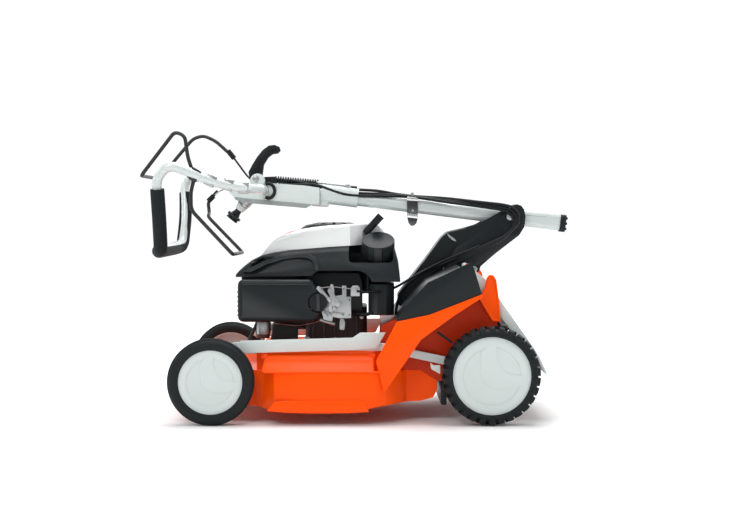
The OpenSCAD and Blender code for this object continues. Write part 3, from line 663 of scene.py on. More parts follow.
hollow = cut_plate(
    "cowl_hollow",
    [(-0.278, 0.318), (-0.276, 0.340), (-0.236, 0.366), (-0.158, 0.385), (-0.062, 0.393), (0.018, 0.397),
     (0.058, 0.394), (0.082, 0.370), (0.094, 0.318)],
    -0.136, 0.136, charcoal, edge=0,
)
for vertex in hollow.data.vertices:
    vertex.co.y *= 1 - 0.20 * max(0.0, min(1.0, (vertex.co.z - 0.352) / 0.060))
    if vertex.co.x < -0.25:
        vertex.co.y *= 0.90
finish_with(cowl, "BOOLEAN", object=hollow, operation="DIFFERENCE", solver="EXACT")
bpy.data.objects.remove(hollow)
boxed_out(cowl, (-0.019, -0.30, 0.3715), (0.0875, -0.048, 0.52), edge=0.010)
bored(cowl, 0.084, 0.050, (-0.060, 0, 0.420), (0, 0, 1))
pick(cowl)
bpy.ops.object.shade_smooth_by_angle(angle=math.radians(42))
stand_in(cowl, "blower_housing")

# A raised band sweeps over the cowl's near side and drops behind the filter cover, and a
# dark well with a floor surrounds the fuel filler's neck.
band = cut_plate("cowl_band",
                 [(-0.272, 0.350), (-0.253, 0.3610), (-0.213, 0.3780), (-0.174, 0.3880),
                  (-0.138, 0.3930), (-0.110, 0.3910), (-0.097, 0.3850), (-0.090, 0.3740),
                  (-0.088, 0.3535), (-0.099, 0.3535), (-0.102, 0.3680), (-0.108, 0.3770),
                  (-0.120, 0.3825), (-0.140, 0.3835), (-0.174, 0.3790), (-0.213, 0.3680),
                  (-0.250, 0.3500)], -0.1560, -0.120, charcoal, edge=0)
for vertex in band.data.vertices:
    vertex.co.y *= 1 - 0.20 * max(0.0, min(1.0, (vertex.co.z - 0.352) / 0.060))
    if vertex.co.x < -0.25:
        vertex.co.y *= 0.93
round_edges(band, 0.0022, 3, sharp=60)
add_on(band, "chassis")
well_floor = cut_plate("filler_well_floor", [(-0.018, 0.3580), (-0.018, 0.3650), (0.0900, 0.3650),
                                             (0.0900, 0.3580)], -0.1400, -0.0440, charcoal, edge=0.001)
add_on(well_floor, "chassis")
well_wall = cut_plate("filler_well_wall", soften([(-0.030, 0.3560), (-0.030, 0.4200), (0.0880, 0.4120),
                                                  (0.0930, 0.3560)], 0.006), -0.0500, -0.0440, charcoal,
                      edge=0.001)
add_on(well_wall, "chassis")
baffle = cut_plate("cowl_baffle", [(-0.276, 0.312), (-0.276, 0.338), (-0.149, 0.338), (-0.149, 0.312)],
                   -0.118, 0.118, charcoal, edge=0.001)
add_on(baffle, "chassis")
duct = turned("flywheel_duct", [(0.088, 0.0), (0.091, 0.002), (0.091, 0.050), (0.087, 0.053), (0.0865, 0.0)],
              (0, 0, 0), charcoal, steps=72)
duct.data.transform(Matrix.Translation((-0.060, 0, 0.2925)) @ Matrix.Rotation(math.radians(90), 4, "X"))
add_on(duct, "chassis")
shield = cut_plate("block_shield", soften([(-0.128, 0.242), (-0.128, 0.322), (-0.112, 0.346),
                                           (0.006, 0.346), (0.014, 0.322), (0.014, 0.242)], 0.008),
                   -0.1085, -0.1040, charcoal, edge=0.0012)
add_on(shield, "chassis")

white_gloss = new_finish("white_gloss_plastic", (0.80, 0.835, 0.825), 0.22, coat=0.3, mottle=0.03,
                         spread=0.06, grain=300, depth=0.02)
cover_line = [(-0.232, 0.3860), (-0.217, 0.406), (-0.201, 0.423), (-0.183, 0.4345), (-0.143, 0.449),
              (-0.105, 0.456), (-0.067, 0.460), (-0.016, 0.4633), (0.028, 0.4660), (0.050, 0.462),
              (0.064, 0.448), (0.078, 0.424), (0.080, 0.405), (0.070, 0.408), (0.028, 0.4140),
              (-0.016, 0.4115), (-0.060, 0.4090), (-0.150, 0.4020), (-0.200, 0.3940)]
top_cover = cut_plate("white_top_cover", cover_line, -0.112, 0.112, white_gloss, edge=0)
for split in (-0.016, 0.028):
    pick(top_cover)
    bpy.ops.object.mode_set(mode="EDIT")
    bpy.ops.mesh.select_all(action="SELECT")
    bpy.ops.mesh.bisect(plane_co=(split, 0, 0.43), plane_no=(1, 0, 0))
    bpy.ops.object.mode_set(mode="OBJECT")
for vertex in top_cover.data.vertices:
    if vertex.co.x < -0.20:
        vertex.co.y *= 0.80
    if vertex.co.y < 0:
        vertex.co.y += 0.062 * max(0.0, min(1.0, (vertex.co.x + 0.016) / 0.044))
    elif vertex.co.x > 0.07:
        vertex.co.y *= 0.86
loop_edges(top_cover, lambda a, b: (max(a.y, b.y) < -0.04 or min(a.y, b.y) > 0.04) and min(a.z, b.z) > 0.4165
           and abs(a.x - b.x) > 0.001)
bpy.ops.mesh.bevel(offset=0.024, segments=8, affect="EDGES", clamp_overlap=True)
bpy.ops.object.mode_set(mode="OBJECT")
bored(top_cover, 0.084, 0.10, (-0.060, 0, 0.450), (0, 0, 1))
pick(top_cover)
bpy.ops.object.shade_smooth_by_angle(angle=math.radians(40))
stand_in(top_cover, "top_cover")
grille = copy_of("recoil_housing", "recoil_housing_finished")
grille.data.transform(Matrix.Translation((0.004, 0, -0.0035)))
round_edges(grille, 0.0012, 2)
stand_in(dress(grille, charcoal), "recoil_housing")

accent = cut_plate("orange_accent",
                   [(-0.186, 0.4325), (-0.172, 0.4395), (-0.158, 0.4455), (-0.141, 0.4500),
                    (-0.143, 0.4425), (-0.160, 0.4365)], -0.0985, 0.0985, orange_paint, edge=0.0008)
add_on(accent, "chassis")

# ---- Air filter cover ----
# A black box held by one quarter-turn knob, with a rounded band along its top, a cut-off
# rear corner and slots in its front edge.
filter_low, filter_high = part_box("air_filter_box")
front, back = filter_low[0], filter_high[0]
filter_box = cut_plate("air_filter_cover", soften([(front, filter_low[2] + 0.003),
                                                   (back - 0.014, filter_low[2] + 0.003),
                                                   (back + 0.002, 0.262), (back - 0.002, 0.294),
                                                   (back - 0.026, filter_high[2]),
                                                   (front, filter_high[2])],
                                                  [0.016, 0.018, 0.010, 0.008, 0.008, 0.016]),
                       filter_low[1], filter_high[1], charcoal, edge=0)
loop_edges(filter_box, lambda a, b: max(a.y, b.y) < filter_low[1] + 0.001)
bpy.ops.mesh.bevel(offset=0.0115, segments=6, affect="EDGES")
bpy.ops.object.mode_set(mode="OBJECT")
bored(filter_box, 0.0245, 0.024, (-0.090, filter_low[1], 0.279), (0, 1, 0))
pick(filter_box)
bpy.ops.object.shade_smooth_by_angle(angle=math.radians(44))
stand_in(filter_box, "air_filter_box")
lip = cut_plate("filter_cover_lip", [(front + 0.012, 0.3195), (front + 0.012, 0.3225), (back - 0.026, 0.3225),
                                     (back - 0.023, 0.3195)], filter_low[1] - 0.0016, filter_low[1] + 0.006,
                charcoal, edge=0.0012)
add_on(lip, "chassis")
for k in range(6):
    slot = cut_plate(f"filter_slot_{k + 1}",
                     [(front - 0.0012, 0.246 + k * 0.011), (front - 0.0012, 0.250 + k * 0.011),
                      (front + 0.012, 0.250 + k * 0.011), (front + 0.012, 0.246 + k * 0.011)],
                     filter_low[1] + 0.012, filter_high[1] - 0.012, charcoal, edge=0.0006, segments=2)
    add_on(slot, "chassis")
rounded("filter_knob", 0.0016, charcoal)

# ---- Starter grip ----
# The recoil starter is pulled by a T-shaped grip of black rubber, which rests behind the intake
# grille. The same rubber sheathes the cables and hoses.
rubber = new_finish("black_rubber", (0.0080, 0.0105, 0.0118), 0.48, mottle=0.1, spread=0.12, grain=700,
                    depth=0.12, specular=0.22)
rounded("starter_grip", 0.0042, rubber, segments=4)

# ---- Governor and throttle ----
# A zinc-plated plate with holes stands off the block and carries the throttle lever; thin rods
# and a spring run from it to the carburettor.


def bent_tube(name, points, radius, material, bend=0.02, closed=False, sides=16, steps=5):
    """A round wire or tube through corner points, each corner bent to a radius."""
    path = []
    count = len(points)
    for k, point in enumerate(points):
        corner = Vector(point)
        if not closed and k in (0, count - 1):
            path.append(corner)
            continue
        before, after = Vector(points[k - 1]) - corner, Vector(points[(k + 1) % count]) - corner
        reach = min(bend, 0.45 * before.length, 0.45 * after.length)
        start, end = corner + before.normalized() * reach, corner + after.normalized() * reach
        for step in range(steps + 1):
            t = step / steps
            path.append(start.lerp(corner, t).lerp(corner.lerp(end, t), t))
    deselect_all()
    bpy.ops.curve.primitive_nurbs_path_add()
    curve = bpy.context.object
    curve.name = name
    shape = curve.data
    shape.splines.clear()
    spline = shape.splines.new("POLY")
    spline.points.add(len(path) - 1)
    for target, place in zip(spline.points, path):
        target.co = (*place, 1)
    spline.use_cyclic_u = closed
    shape.dimensions = "3D"
    shape.bevel_depth = radius
    shape.bevel_resolution = max(1, (sides - 4) // 4)
    shape.use_fill_caps = True
    pick(curve)
    bpy.ops.object.convert(target="MESH")
    piece = bpy.context.object
    bpy.ops.object.shade_smooth_by_angle(angle=math.radians(50))
    return dress(piece, material)


def disc(name, centre, radius, depth, along, material, edge=0.0006, sides=40):
    """A short round boss, washer or bolt head with softened edges."""
    deselect_all()
    bpy.ops.mesh.primitive_cylinder_add(vertices=sides, radius=radius, depth=depth, location=centre,
                                        rotation=Vector(along).to_track_quat("Z", "Y").to_euler())
    piece = bpy.context.object
    piece.name = name
    bpy.ops.object.transform_apply(location=True, rotation=True, scale=True)
    round_edges(piece, edge, 2)
    return dress(piece, material)


rounded("control_plate", 0.0006, zinc, segments=2)
rounded("throttle_lever", 0.0008, zinc, segments=2)
for name, points, radius in (("governor_rod",
                              [(-0.196, -0.150, 0.236), (-0.150, -0.156, 0.238),
                               (-0.110, -0.1655, 0.262), (-0.066, -0.1700, 0.290)], 0.0013),
                             ("choke_rod",
                              [(-0.196, -0.146, 0.228), (-0.140, -0.150, 0.222),
                               (-0.095, -0.150, 0.230), (-0.076, -0.150, 0.244)], 0.0011)):
    add_on(bent_tube(name, points, radius, zinc, bend=0.008, sides=8), "chassis")
spring_turns = [(-0.070 + 0.042 * k / 96, -0.1615 + 0.0026 * math.sin(math.tau * k / 6),
                 0.256 + 0.0026 * math.cos(math.tau * k / 6) - 0.004 * k / 96) for k in range(97)]
add_on(bent_tube("governor_spring", spring_turns, 0.0006, zinc, bend=0.0003, sides=6, steps=1),
       "chassis")
for name, outline, near in (("governor_arm",
                             [(-0.096, 0.312), (-0.091, 0.318), (-0.085, 0.316), (-0.066, 0.292),
                              (-0.058, 0.284), (-0.063, 0.278), (-0.072, 0.286)], -0.1700),
                            ("governor_hook",
                             [(-0.063, 0.256), (-0.067, 0.268), (-0.063, 0.281), (-0.053, 0.288),
                              (-0.041, 0.287), (-0.036, 0.281), (-0.045, 0.279), (-0.054, 0.277),
                              (-0.058, 0.268), (-0.055, 0.258)], -0.1690),
                            ("governor_foot",
                             [(-0.083, 0.256), (-0.079, 0.262), (-0.060, 0.252), (-0.056, 0.244),
                              (-0.062, 0.239), (-0.078, 0.242)], -0.1655),
                            ("choke_tab",
                             [(-0.040, 0.232), (-0.040, 0.214), (-0.029, 0.212), (-0.027, 0.230),
                              (-0.030, 0.240), (-0.038, 0.240)], -0.1655), ("stop_tab",
        [(-0.066, 0.300), (-0.062, 0.321), (-0.055, 0.322), (-0.052, 0.300)], -0.1600)):
    plate = cut_plate(name, soften(outline, 0.003), near, near + 0.0022, zinc, edge=0.0006, segments=2)
    add_on(plate, "chassis")
for k, (x, z, radius) in enumerate(((-0.045, 0.277, 0.0070), (-0.052, 0.265, 0.0045),
                                    (-0.090, 0.312, 0.0040), (-0.075, 0.250, 0.0045),
                                    (-0.071, 0.245, 0.0040), (-0.058, 0.318, 0.0032))):
    add_on(disc(f"governor_rivet_{k + 1}", (x, -0.1715, z), radius, 0.004, (0, 1, 0), zinc, edge=0.0008,
                sides=24), "chassis")
for k, (x, z) in enumerate(((-0.017, 0.249), (-0.032, 0.249), (-0.017, 0.284), (-0.034, 0.225),
                            (-0.034, 0.218), (-0.030, 0.311))):
    add_on(disc(f"plate_hole_{k + 1}", (x, -0.1622, z), 0.0019, 0.0012, (0, 1, 0), dark_steel,
                edge=0.0002, sides=16), "chassis")
add_on(bent_tube("choke_barrel", [(-0.087, -0.158, 0.237), (-0.052, -0.158, 0.226)], 0.0042, zinc,
                 sides=12), "chassis")
add_on(bent_tube("link_wire", [(-0.088, -0.1735, 0.313), (-0.056, -0.1735, 0.3165),
                               (-0.012, -0.1735, 0.311)], 0.0008, zinc, sides=6), "chassis")
clamp = cut_plate("cable_clamp",
                  [(-0.014, 0.293), (-0.014, 0.312), (-0.009, 0.318), (0.004, 0.318), (0.008, 0.313),
                   (0.008, 0.293)], -0.1665, -0.1595, zinc, edge=0.0012)
add_on(clamp, "chassis")
add_on(disc("clamp_screw", (-0.003, -0.1685, 0.306), 0.0042, 0.005, (0, 1, 0), zinc, sides=6),
       "chassis")
hose = bent_tube("fuel_hose",
                 [(-0.012, -0.120, 0.250), (0.012, -0.134, 0.247), (0.032, -0.136, 0.249),
                  (0.050, -0.128, 0.262)], 0.0045, rubber, bend=0.012)
add_on(hose, "chassis")
sheath = bent_tube("throttle_cable",
                   [(-0.003, -0.1680, 0.306), (0.024, -0.160, 0.302), (0.056, -0.140, 0.302),
                    (0.093, -0.110, 0.310), (0.129, -0.080, 0.331), (0.178, -0.0640, 0.357),
                    (0.221, -0.0600, 0.378), (0.300, -0.0560, 0.410)], 0.0030, rubber, bend=0.03)
add_on(sheath, "chassis")

# ---- Carburettor bowl and guard ----
# Below the filter hang the silver float bowl and its heat-browned foot. Two black braces and a
# black trapezoid plate stand beside them.
bowl = turned("float_bowl",
              [(0.0001, 0.0285), (0.017, 0.0285), (0.019, 0.026), (0.019, 0.004), (0.016, 0.0),
               (0.0001, 0.0)], (0, 0, 0), zinc, steps=48)
bowl.data.transform(Matrix.Translation((-0.225, -0.116, 0.2005)) @ Matrix.Rotation(math.radians(90), 4, "X"))
add_on(bowl, "chassis")
brown = new_finish("heat_browned_cast", (0.105, 0.045, 0.032), 0.5, metallic=0.35, mottle=0.4,
                   spread=0.2, grain=350, depth=0.4)
foot = disc("bowl_foot", (-0.225, -0.116, 0.1955), 0.0165, 0.011, (0, 0, 1), brown, edge=0.002)
add_on(foot, "chassis")
add_on(disc("bowl_drain", (-0.225, -0.116, 0.188), 0.0055, 0.006, (0, 0, 1), zinc, sides=6), "chassis")
guard = cut_plate("bowl_guard",
                  [(-0.199, 0.185), (-0.199, 0.219), (-0.190, 0.226), (-0.152, 0.226), (-0.140, 0.215),
                   (-0.140, 0.185)], -0.128, -0.124, charcoal, edge=0.0014)
add_on(guard, "chassis")
for k, (low, high) in enumerate((((-0.262, -0.120, 0.176), (-0.236, -0.126, 0.232)),
                                 ((-0.206, -0.120, 0.172), (-0.192, -0.126, 0.232)))):
    brace = bent_tube(f"filter_brace_{k + 1}", [low, high], 0.0042, charcoal)
    add_on(brace, "chassis")

# ---- Running gear ----
# Zinc-plated crank axles, the grey tie bar that joins them, and the drive to the rear wheels.
for node in ("rear_axle", "front_axle", "drive_shaft", "crankshaft"):
    rounded(node, 0.0006, zinc, segments=2)
for node in ("pinion_left", "pinion_right", "gearbox_pulley", "blade_carrier", "blade_bolt"):
    rounded(node, 0.0005, dark_steel, segments=2)
rounded("height_tie_bar", 0.0020, light_grey, segments=3)
rounded("gearbox", 0.004, cast_metal)
rounded("drive_belt", 0.0008, rubber, segments=2)
rounded("spark_plug", 0.0015, rubber, segments=2)
for side in (-1, 1):
    hand = "left" if side < 0 else "right"
    latch = cut_plate(f"latch_arm_{hand}", soften([(0.171, 0.144), (0.179, 0.137), (0.194, 0.138),
                                                   (0.194, 0.117), (0.173, 0.129)], 0.003),
                      side * 0.2360 - 0.002, side * 0.2360 + 0.002, light_grey, edge=0.0008)
    add_on(latch, "chassis")
    rod = bent_tube(f"rear_rod_{hand}", [(0.187, side * 0.234, 0.215), (0.222, side * 0.234, 0.189)],
                    0.0030, rubber)
    add_on(rod, "chassis")
blade_steel = new_finish("blade_steel", (0.035, 0.036, 0.037), 0.42, metallic=0.7, mottle=0.3,
                         spread=0.25, grain=500, depth=0.25, rubbing=0.6)
rounded("blade", 0.0007, blade_steel, segments=2)
for node in ("front_rim_left", "front_rim_right", "rear_rim_left", "rear_rim_right"):
    dress(frame["nodes"][node], light_grey)

# ---- Handle bracket ----
# Two moulded arms carry the handle's pivot. Their outer faces have a raised rim round a
# sunk channel; a zinc bolt clamps the foot and a larger one is the pivot.
arms = copy_of("bracket_plates", "bracket_plates_finished")
for outward in (-1, 1):
    sink_faces(arms, (0, outward, 0), 0.0060, 0.0022, least_area=0.003, beyond=0.039)
round_edges(arms, 0.0014, 3)
stand_in(dress(arms, charcoal), "bracket_plates")
rounded("bracket_bolts", 0.0011, zinc)
brace = cut_plate("bracket_brace", soften([(0.2070, 0.4300), (0.2220, 0.4420), (0.2720, 0.4540),
                                           (0.2590, 0.4240), (0.2350, 0.3990), (0.2120, 0.3560),
                                           (0.1250, 0.2600), (0.1020, 0.2620), (0.1000, 0.2900),
                                           (0.1180, 0.3130), (0.1670, 0.3750)], 0.006), -0.0380, 0.0380,
                  charcoal, edge=0)
loop_edges(brace, lambda a, b: abs(a.y - b.y) < 0.001)
bpy.ops.mesh.bevel(offset=0.0022, segments=3, affect="EDGES")
bpy.ops.object.mode_set(mode="OBJECT")
add_on(brace, "chassis")
for name, near in (("bracket_web_left", -0.0366), ("bracket_web_right", 0.0331)):
    web = cut_plate(name, soften([(0.2070, 0.4300), (0.2220, 0.4430), (0.2720, 0.4550),
                                  (0.2950, 0.4620), (0.3600, 0.4980), (0.3850, 0.4900),
                                  (0.3400, 0.4000), (0.3020, 0.3720), (0.2750, 0.3620),
                                  (0.2120, 0.3560), (0.1670, 0.3600), (0.1670, 0.3750)], 0.004), near,
                    near + 0.0035, charcoal, edge=0.0008)
    add_on(web, "chassis")
glint = cut_plate("brace_pin", soften([(0.2215, 0.4400), (0.2400, 0.4270), (0.2440, 0.4200),
                                       (0.2350, 0.4230), (0.2240, 0.4330)], 0.002), -0.0400, -0.0370,
                  zinc, edge=0.0004)
add_on(glint, "chassis")
for k, (x, z) in enumerate(((0.2870, 0.3490),)):
    add_on(disc(f"bracket_foot_bolt_{k + 1}", (x, -0.0475, z), 0.0062, 0.006, (0, 1, 0), zinc, sides=6),
           "chassis")
rounded("column_cap", 0.003, charcoal)
chrome = new_finish("chrome", (0.80, 0.81, 0.81), 0.16, metallic=1.0, mottle=0.05, spread=0.08,
                    grain=500, depth=0.03)
chrome_painted_shade = new_finish("chrome_in_shade", (0.085, 0.090, 0.092), 0.22, metallic=0.9, mottle=0.2,
                         spread=0.15, grain=500, depth=0.03)
# The clip's faces alternate bright chrome with chrome darkened as painted shade.
clip_faces = (([(0.1235, 0.530), (0.1500, 0.528), (0.1500, 0.519), (0.1235, 0.521)], chrome),
              ([(0.1235, 0.521), (0.1500, 0.519), (0.1500, 0.486), (0.1235, 0.489)], chrome_painted_shade),
              ([(0.1225, 0.489), (0.1505, 0.486), (0.1500, 0.476), (0.1235, 0.479)], chrome),
              ([(0.1240, 0.479), (0.1495, 0.476), (0.1470, 0.465), (0.1400, 0.4585), (0.1330, 0.4585),
                (0.1270, 0.466)], chrome_painted_shade))
for k, (outline, metal) in enumerate(clip_faces):
    strip = cut_plate(f"rope_clip_face_{k + 1}", outline, -0.0225, -0.0195, metal, edge=0.0008)
    if k == 0:
        stand_in(strip, "rope_clip")
    else:
        add_on(strip, "handle")
notch = cut_plate("rope_clip_notch", soften([(0.1330, 0.4935), (0.1370, 0.5000), (0.1420, 0.4940)],
                                            0.001), -0.0232, -0.0222, zinc, edge=0.0003)
add_on(notch, "handle")
stud = disc("rope_clip_stud", (0.1370, -0.0140, 0.5350), 0.0048, 0.011, (0, 0, 1), zinc, sides=6)
add_on(stud, "handle")

# ---- Rear flap ----
# The grey flap closes the tunnel. It is one moulding with a hinge roll along its top edge and
# deeper cheeks at its sides.
rounded("rear_flap", 0.0026, light_grey, segments=4)

# ---- Handle column ----
# A rectangular tube painted silver runs forwards from the pivot and carries a long grey moulded
# head; the knob below clamps it.
silver_paint = new_finish("silver_paint", (0.60, 0.655, 0.645), 0.33, metallic=0.15, coat=0.25,
                          mottle=0.03, spread=0.08, grain=800, depth=0.03)
bail_black = new_finish("painted_wire", (0.0075, 0.0100, 0.0110), 0.50, coat=0.0, mottle=0.05,
                        spread=0.1, grain=800, depth=0.04)
column = copy_of("handle_column", "handle_column_finished")
for vertex in column.data.vertices:
    centre_line = 0.481 + (0.375 - vertex.co.x) * math.tan(math.radians(7))
    if vertex.co.z > centre_line:
        vertex.co.z += 0.003 if vertex.co.x > 0.3 else -0.010
round_edges(column, 0.0030, 4)
stand_in(dress(column, silver_paint), "handle_column")

head = copy_of("handle_head", "handle_head_finished")
round_edges(head, 0.0070, 5)
stand_in(dress(head, light_grey), "handle_head")
joiner = cut_plate("head_joiner", [(-0.112, 0.507), (-0.112, 0.5495), (-0.070, 0.5430),
                                   (-0.070, 0.5050)], -0.0185, 0.0185, light_grey, edge=0.003)
add_on(joiner, "handle")
# The keel's darker grey is the head's grey plastic in painted shade.
keel = cut_plate("head_keel", soften([(-0.302, 0.5290), (-0.296, 0.5210), (-0.256, 0.5130),
                                      (-0.160, 0.5050), (-0.128, 0.5020), (-0.112, 0.5110),
                                      (-0.160, 0.5160), (-0.256, 0.5240)], 0.003), -0.0372, 0.0372,
                 new_finish("shaded_grey_plastic", (0.26, 0.30, 0.295), 0.5, mottle=0.05, spread=0.1,
                            grain=700, depth=0.08), edge=0.002)
add_on(keel, "handle")
ring_points = [(-0.216 + 0.0150 * math.cos(math.radians(a)), -0.0405, 0.5440
                + 0.0180 * math.sin(math.radians(a))) for a in range(118, -136, -15)]
ring = bent_tube("bar_end_clamp", ring_points, 0.0040, rubber, bend=0.006, sides=14)
add_on(ring, "handle")
block = cut_plate("spring_housing", soften([(-0.229, 0.5590), (-0.229, 0.5790), (-0.200, 0.5800),
                                            (-0.198, 0.5640), (-0.214, 0.5570)], 0.004), -0.0180,
                  0.0120, charcoal, edge=0.002)
add_on(block, "handle")
hub = disc("lever_hub", (-0.243, -0.0385, 0.5680), 0.0185, 0.010, (0, 1, 0), light_grey, edge=0.003, sides=64)
add_on(hub, "handle")
add_on(disc("lever_hub_cap", (-0.247, -0.0440, 0.5730), 0.0085, 0.004, (0, 1, 0), zinc, edge=0.0012),
       "handle")
rail_clip_places = ((-0.372, -0.2410, 0.5780), (-0.335, -0.2380, 0.5640), (-0.296, -0.2300, 0.5545),
                    (-0.262, -0.2140, 0.5475))
for k, place in enumerate(rail_clip_places):
    bpy.ops.mesh.primitive_cube_add(size=1, location=place, scale=(0.024, 0.016, 0.0275),
                                    rotation=(0, math.radians((30, 26, 14, 4)[k]), 0))
    tab = bpy.context.object
    tab.name = f"bar_cable_tab_{k + 1}"
    bpy.ops.object.transform_apply(location=True, rotation=True, scale=True)
    round_edges(tab, 0.0018, 3)
    add_on(dress(tab, zinc if k else bail_black), "handle")


def helix(name, start, along, length, coil_radius, wire, turns, material):
    """An open coil spring drawn along an axis."""
    axis = Vector(along).normalized()
    side = axis.cross(Vector((0, 1, 0))).normalized()
    other = axis.cross(side)
    count = int(turns * 14)
    path = [Vector(start) + axis * (length * k / count)
            + (side * math.cos(math.tau * turns * k / count)
               + other * math.sin(math.tau * turns * k / count)) * coil_radius
            for k in range(count + 1)]
    return bent_tube(name, path, wire, material, bend=0.0005, sides=10, steps=1)


spring_axis = (math.sin(math.radians(95)), 0, math.cos(math.radians(95)))
spring_start = Vector((-0.201, 0, 0.578))
dark_spring = new_finish("oiled_spring_steel", (0.045, 0.050, 0.052), 0.35, metallic=0.8, mottle=0.15,
                         spread=0.1, grain=600, depth=0.05)
coil = helix("head_spring_coil", spring_start + Vector((0, 0, -0.006)), spring_axis, 0.104, 0.0084,
             0.0021, 17, dark_spring)
stand_in(coil, "head_spring")
core = disc("head_spring_core", spring_start + Vector((0.050, 0, -0.0104)), 0.0045, 0.096, spring_axis,
            rubber, edge=0.001)
add_on(core, "handle")
barrel = disc("head_spring_rod", Vector((-0.062, -0.006, 0.5610)), 0.0030, 0.074,
              (math.sin(math.radians(97)), 0, math.cos(math.radians(97))), zinc, edge=0.001)
add_on(barrel, "handle")
for name, along, radius, depth in (("head_spring_nut", 0.178, 0.0098, 0.011),
                                   ("cable_end_nut", 0.120, 0.0050, 0.012)):
    nut = disc(name, Vector((-0.201 + along, -0.006, 0.5560 + (0.178 - along) * 0.12)), radius, depth,
               spring_axis, zinc, edge=0.0008, sides=6)
    add_on(nut, "handle")
ferrule = disc("cable_ferrule", Vector((-0.008, -0.006, 0.5510)), 0.0058, 0.017, spring_axis, rubber,
               edge=0.001)
add_on(ferrule, "handle")

knob_axis = Vector((-0.629, 0, -0.777)).normalized()
knob_from = Vector((-0.272, 0, 0.522))
knob_spin = [(0.0001, -0.010), (0.005, -0.010), (0.005, 0.030), (0.0078, 0.0315), (0.0090, 0.0400),
             (0.0120, 0.0470), (0.0178, 0.0485), (0.0185, 0.0500), (0.0182, 0.0545), (0.0150, 0.0560),
             (0.0145, 0.0580), (0.0160, 0.0595), (0.0155, 0.0620), (0.0001, 0.0625)]
knob = turned("lock_knob_finished", knob_spin, (0, 0, 0), charcoal, steps=64)
turn = Vector((0, 1, 0)).rotation_difference(knob_axis).to_matrix().to_4x4()
knob.data.transform(Matrix.Translation(knob_from) @ turn)
stand_in(knob, "lock_knob")
collar_spin = [(0.0001, -0.004), (0.0175, -0.004), (0.0165, 0.010), (0.0150, 0.012), (0.0150, 0.018),
               (0.0128, 0.020), (0.0110, 0.0305), (0.0058, 0.0312), (0.0058, 0.020), (0.0001, 0.020)]
collar = turned("lock_collar", collar_spin, (0, 0, 0), zinc, steps=48)
collar.data.transform(Matrix.Translation(knob_from) @ turn)
add_on(collar, "handle")

# ---- Handlebar and grips ----
# One silver-painted tube is bent into a closed loop. A foam sleeve is pushed on tight over its
# lower end and part of its sides.
half_bar = [(-0.228, -0.001, 0.546), (-0.228, -0.170, 0.546), (-0.262, -0.222, 0.546),
            (-0.322, -0.236, 0.558), (-0.392, -0.244, 0.586), (-0.432, -0.250, 0.600),
            (-0.460, -0.247, 0.566), (-0.455, -0.228, 0.480), (-0.457, -0.186, 0.411),
            (-0.468, -0.150, 0.406)]
whole_bar = [(x, -y, z) for x, y, z in reversed(half_bar[1:])]
whole_bar = [half_bar[1]] + half_bar[2:] + whole_bar
bar = bent_tube("handlebar_tube", whole_bar, 0.0115, silver_paint, bend=0.034, closed=True, sides=24, steps=8)
stand_in(bar, "handlebar")
half_grip = [(-0.457, -0.248, 0.544), (-0.455, -0.234, 0.480), (-0.458, -0.191, 0.404),
             (-0.470, -0.150, 0.399)]
whole_grip = half_grip + [(x, -y, z) for x, y, z in reversed(half_grip)]
foam = new_finish("foam_sleeve", (0.0110, 0.0155, 0.0170), 0.75, mottle=0.2, spread=0.1, grain=1400,
                  depth=0.5, specular=0.15)
sleeve = bent_tube("foam_sleeve", whole_grip, 0.0165, foam, bend=0.034, sides=28, steps=8)
finish_with(sleeve, "BEVEL", width=0.003, segments=3, limit_method="ANGLE", angle_limit=math.radians(60))
stand_in(sleeve, "handle_grip")

# ---- Bails ----
# Two bent steel wires turn in the handlebar's sides. Squeezing them against the grip keeps
# the engine running and engages the drive; each pulls its cable from a rubber knuckle.
stop_path = [(-0.3895, -0.152, 0.593), (-0.399, -0.152, 0.622), (-0.406, -0.150, 0.672),
             (-0.430, -0.148, 0.682), (-0.510, -0.148, 0.578), (-0.512, 0.148, 0.578),
             (-0.424, 0.150, 0.682), (-0.397, 0.152, 0.690), (-0.366, 0.152, 0.676),
             (-0.322, 0.150, 0.636)]
drive_path = [(-0.3855, -0.152, 0.565), (-0.392, -0.152, 0.540), (-0.392, -0.150, 0.497),
              (-0.294, -0.150, 0.392), (-0.297, 0.150, 0.388), (-0.386, 0.152, 0.480),
              (-0.388, 0.196, 0.492), (-0.392, 0.198, 0.520), (-0.366, 0.198, 0.548)]
for name, path, pivot, knuckle in (
    ("stop_bail", stop_path, (-0.388, 0.588), ((-0.334, 0.1505, 0.651), (-0.318, 0.1505, 0.631))),
    ("drive_bail", drive_path, (-0.384, 0.570), ((-0.391, 0.1985, 0.521), (-0.377, 0.1985, 0.535))),
):
    wire = bent_tube(f"{name}_wire", path, 0.0046, bail_black, bend=0.014, sides=16, steps=7)
    stand_in(wire, name)
    journal = bent_tube(f"{name}_journal", [(pivot[0], -0.226, pivot[1]), (pivot[0], 0.226, pivot[1])],
                        0.0042, bail_black)
    add_on(journal, name)
    add_on(disc(f"{name}_collar", (pivot[0], -0.152, pivot[1]), 0.0080, 0.014, (0, 1, 0), bail_black,
                edge=0.0015), name)
    boot = bent_tube(f"{name}_knuckle", knuckle, 0.0070, rubber)
    round_edges(boot, 0.002, 3, sharp=50)
    add_on(boot, name)
for name, bail, points in (("stop_bail_cable", "stop_bail",
                            [(-0.318, 0.1505, 0.631), (-0.283, 0.120, 0.586), (-0.262, 0.060, 0.570),
                             (-0.245, 0.030, 0.566)]),
                           ("drive_bail_cable", "drive_bail",
                            [(-0.377, 0.1985, 0.535), (-0.356, 0.180, 0.549), (-0.330, 0.120, 0.553),
                             (-0.290, 0.034, 0.548)])):
    lead = bent_tube(name, points, 0.0026 if bail == "stop_bail" else 0.0018, rubber
                     if bail == "stop_bail" else zinc, bend=0.012, sides=10)
    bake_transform(lead)

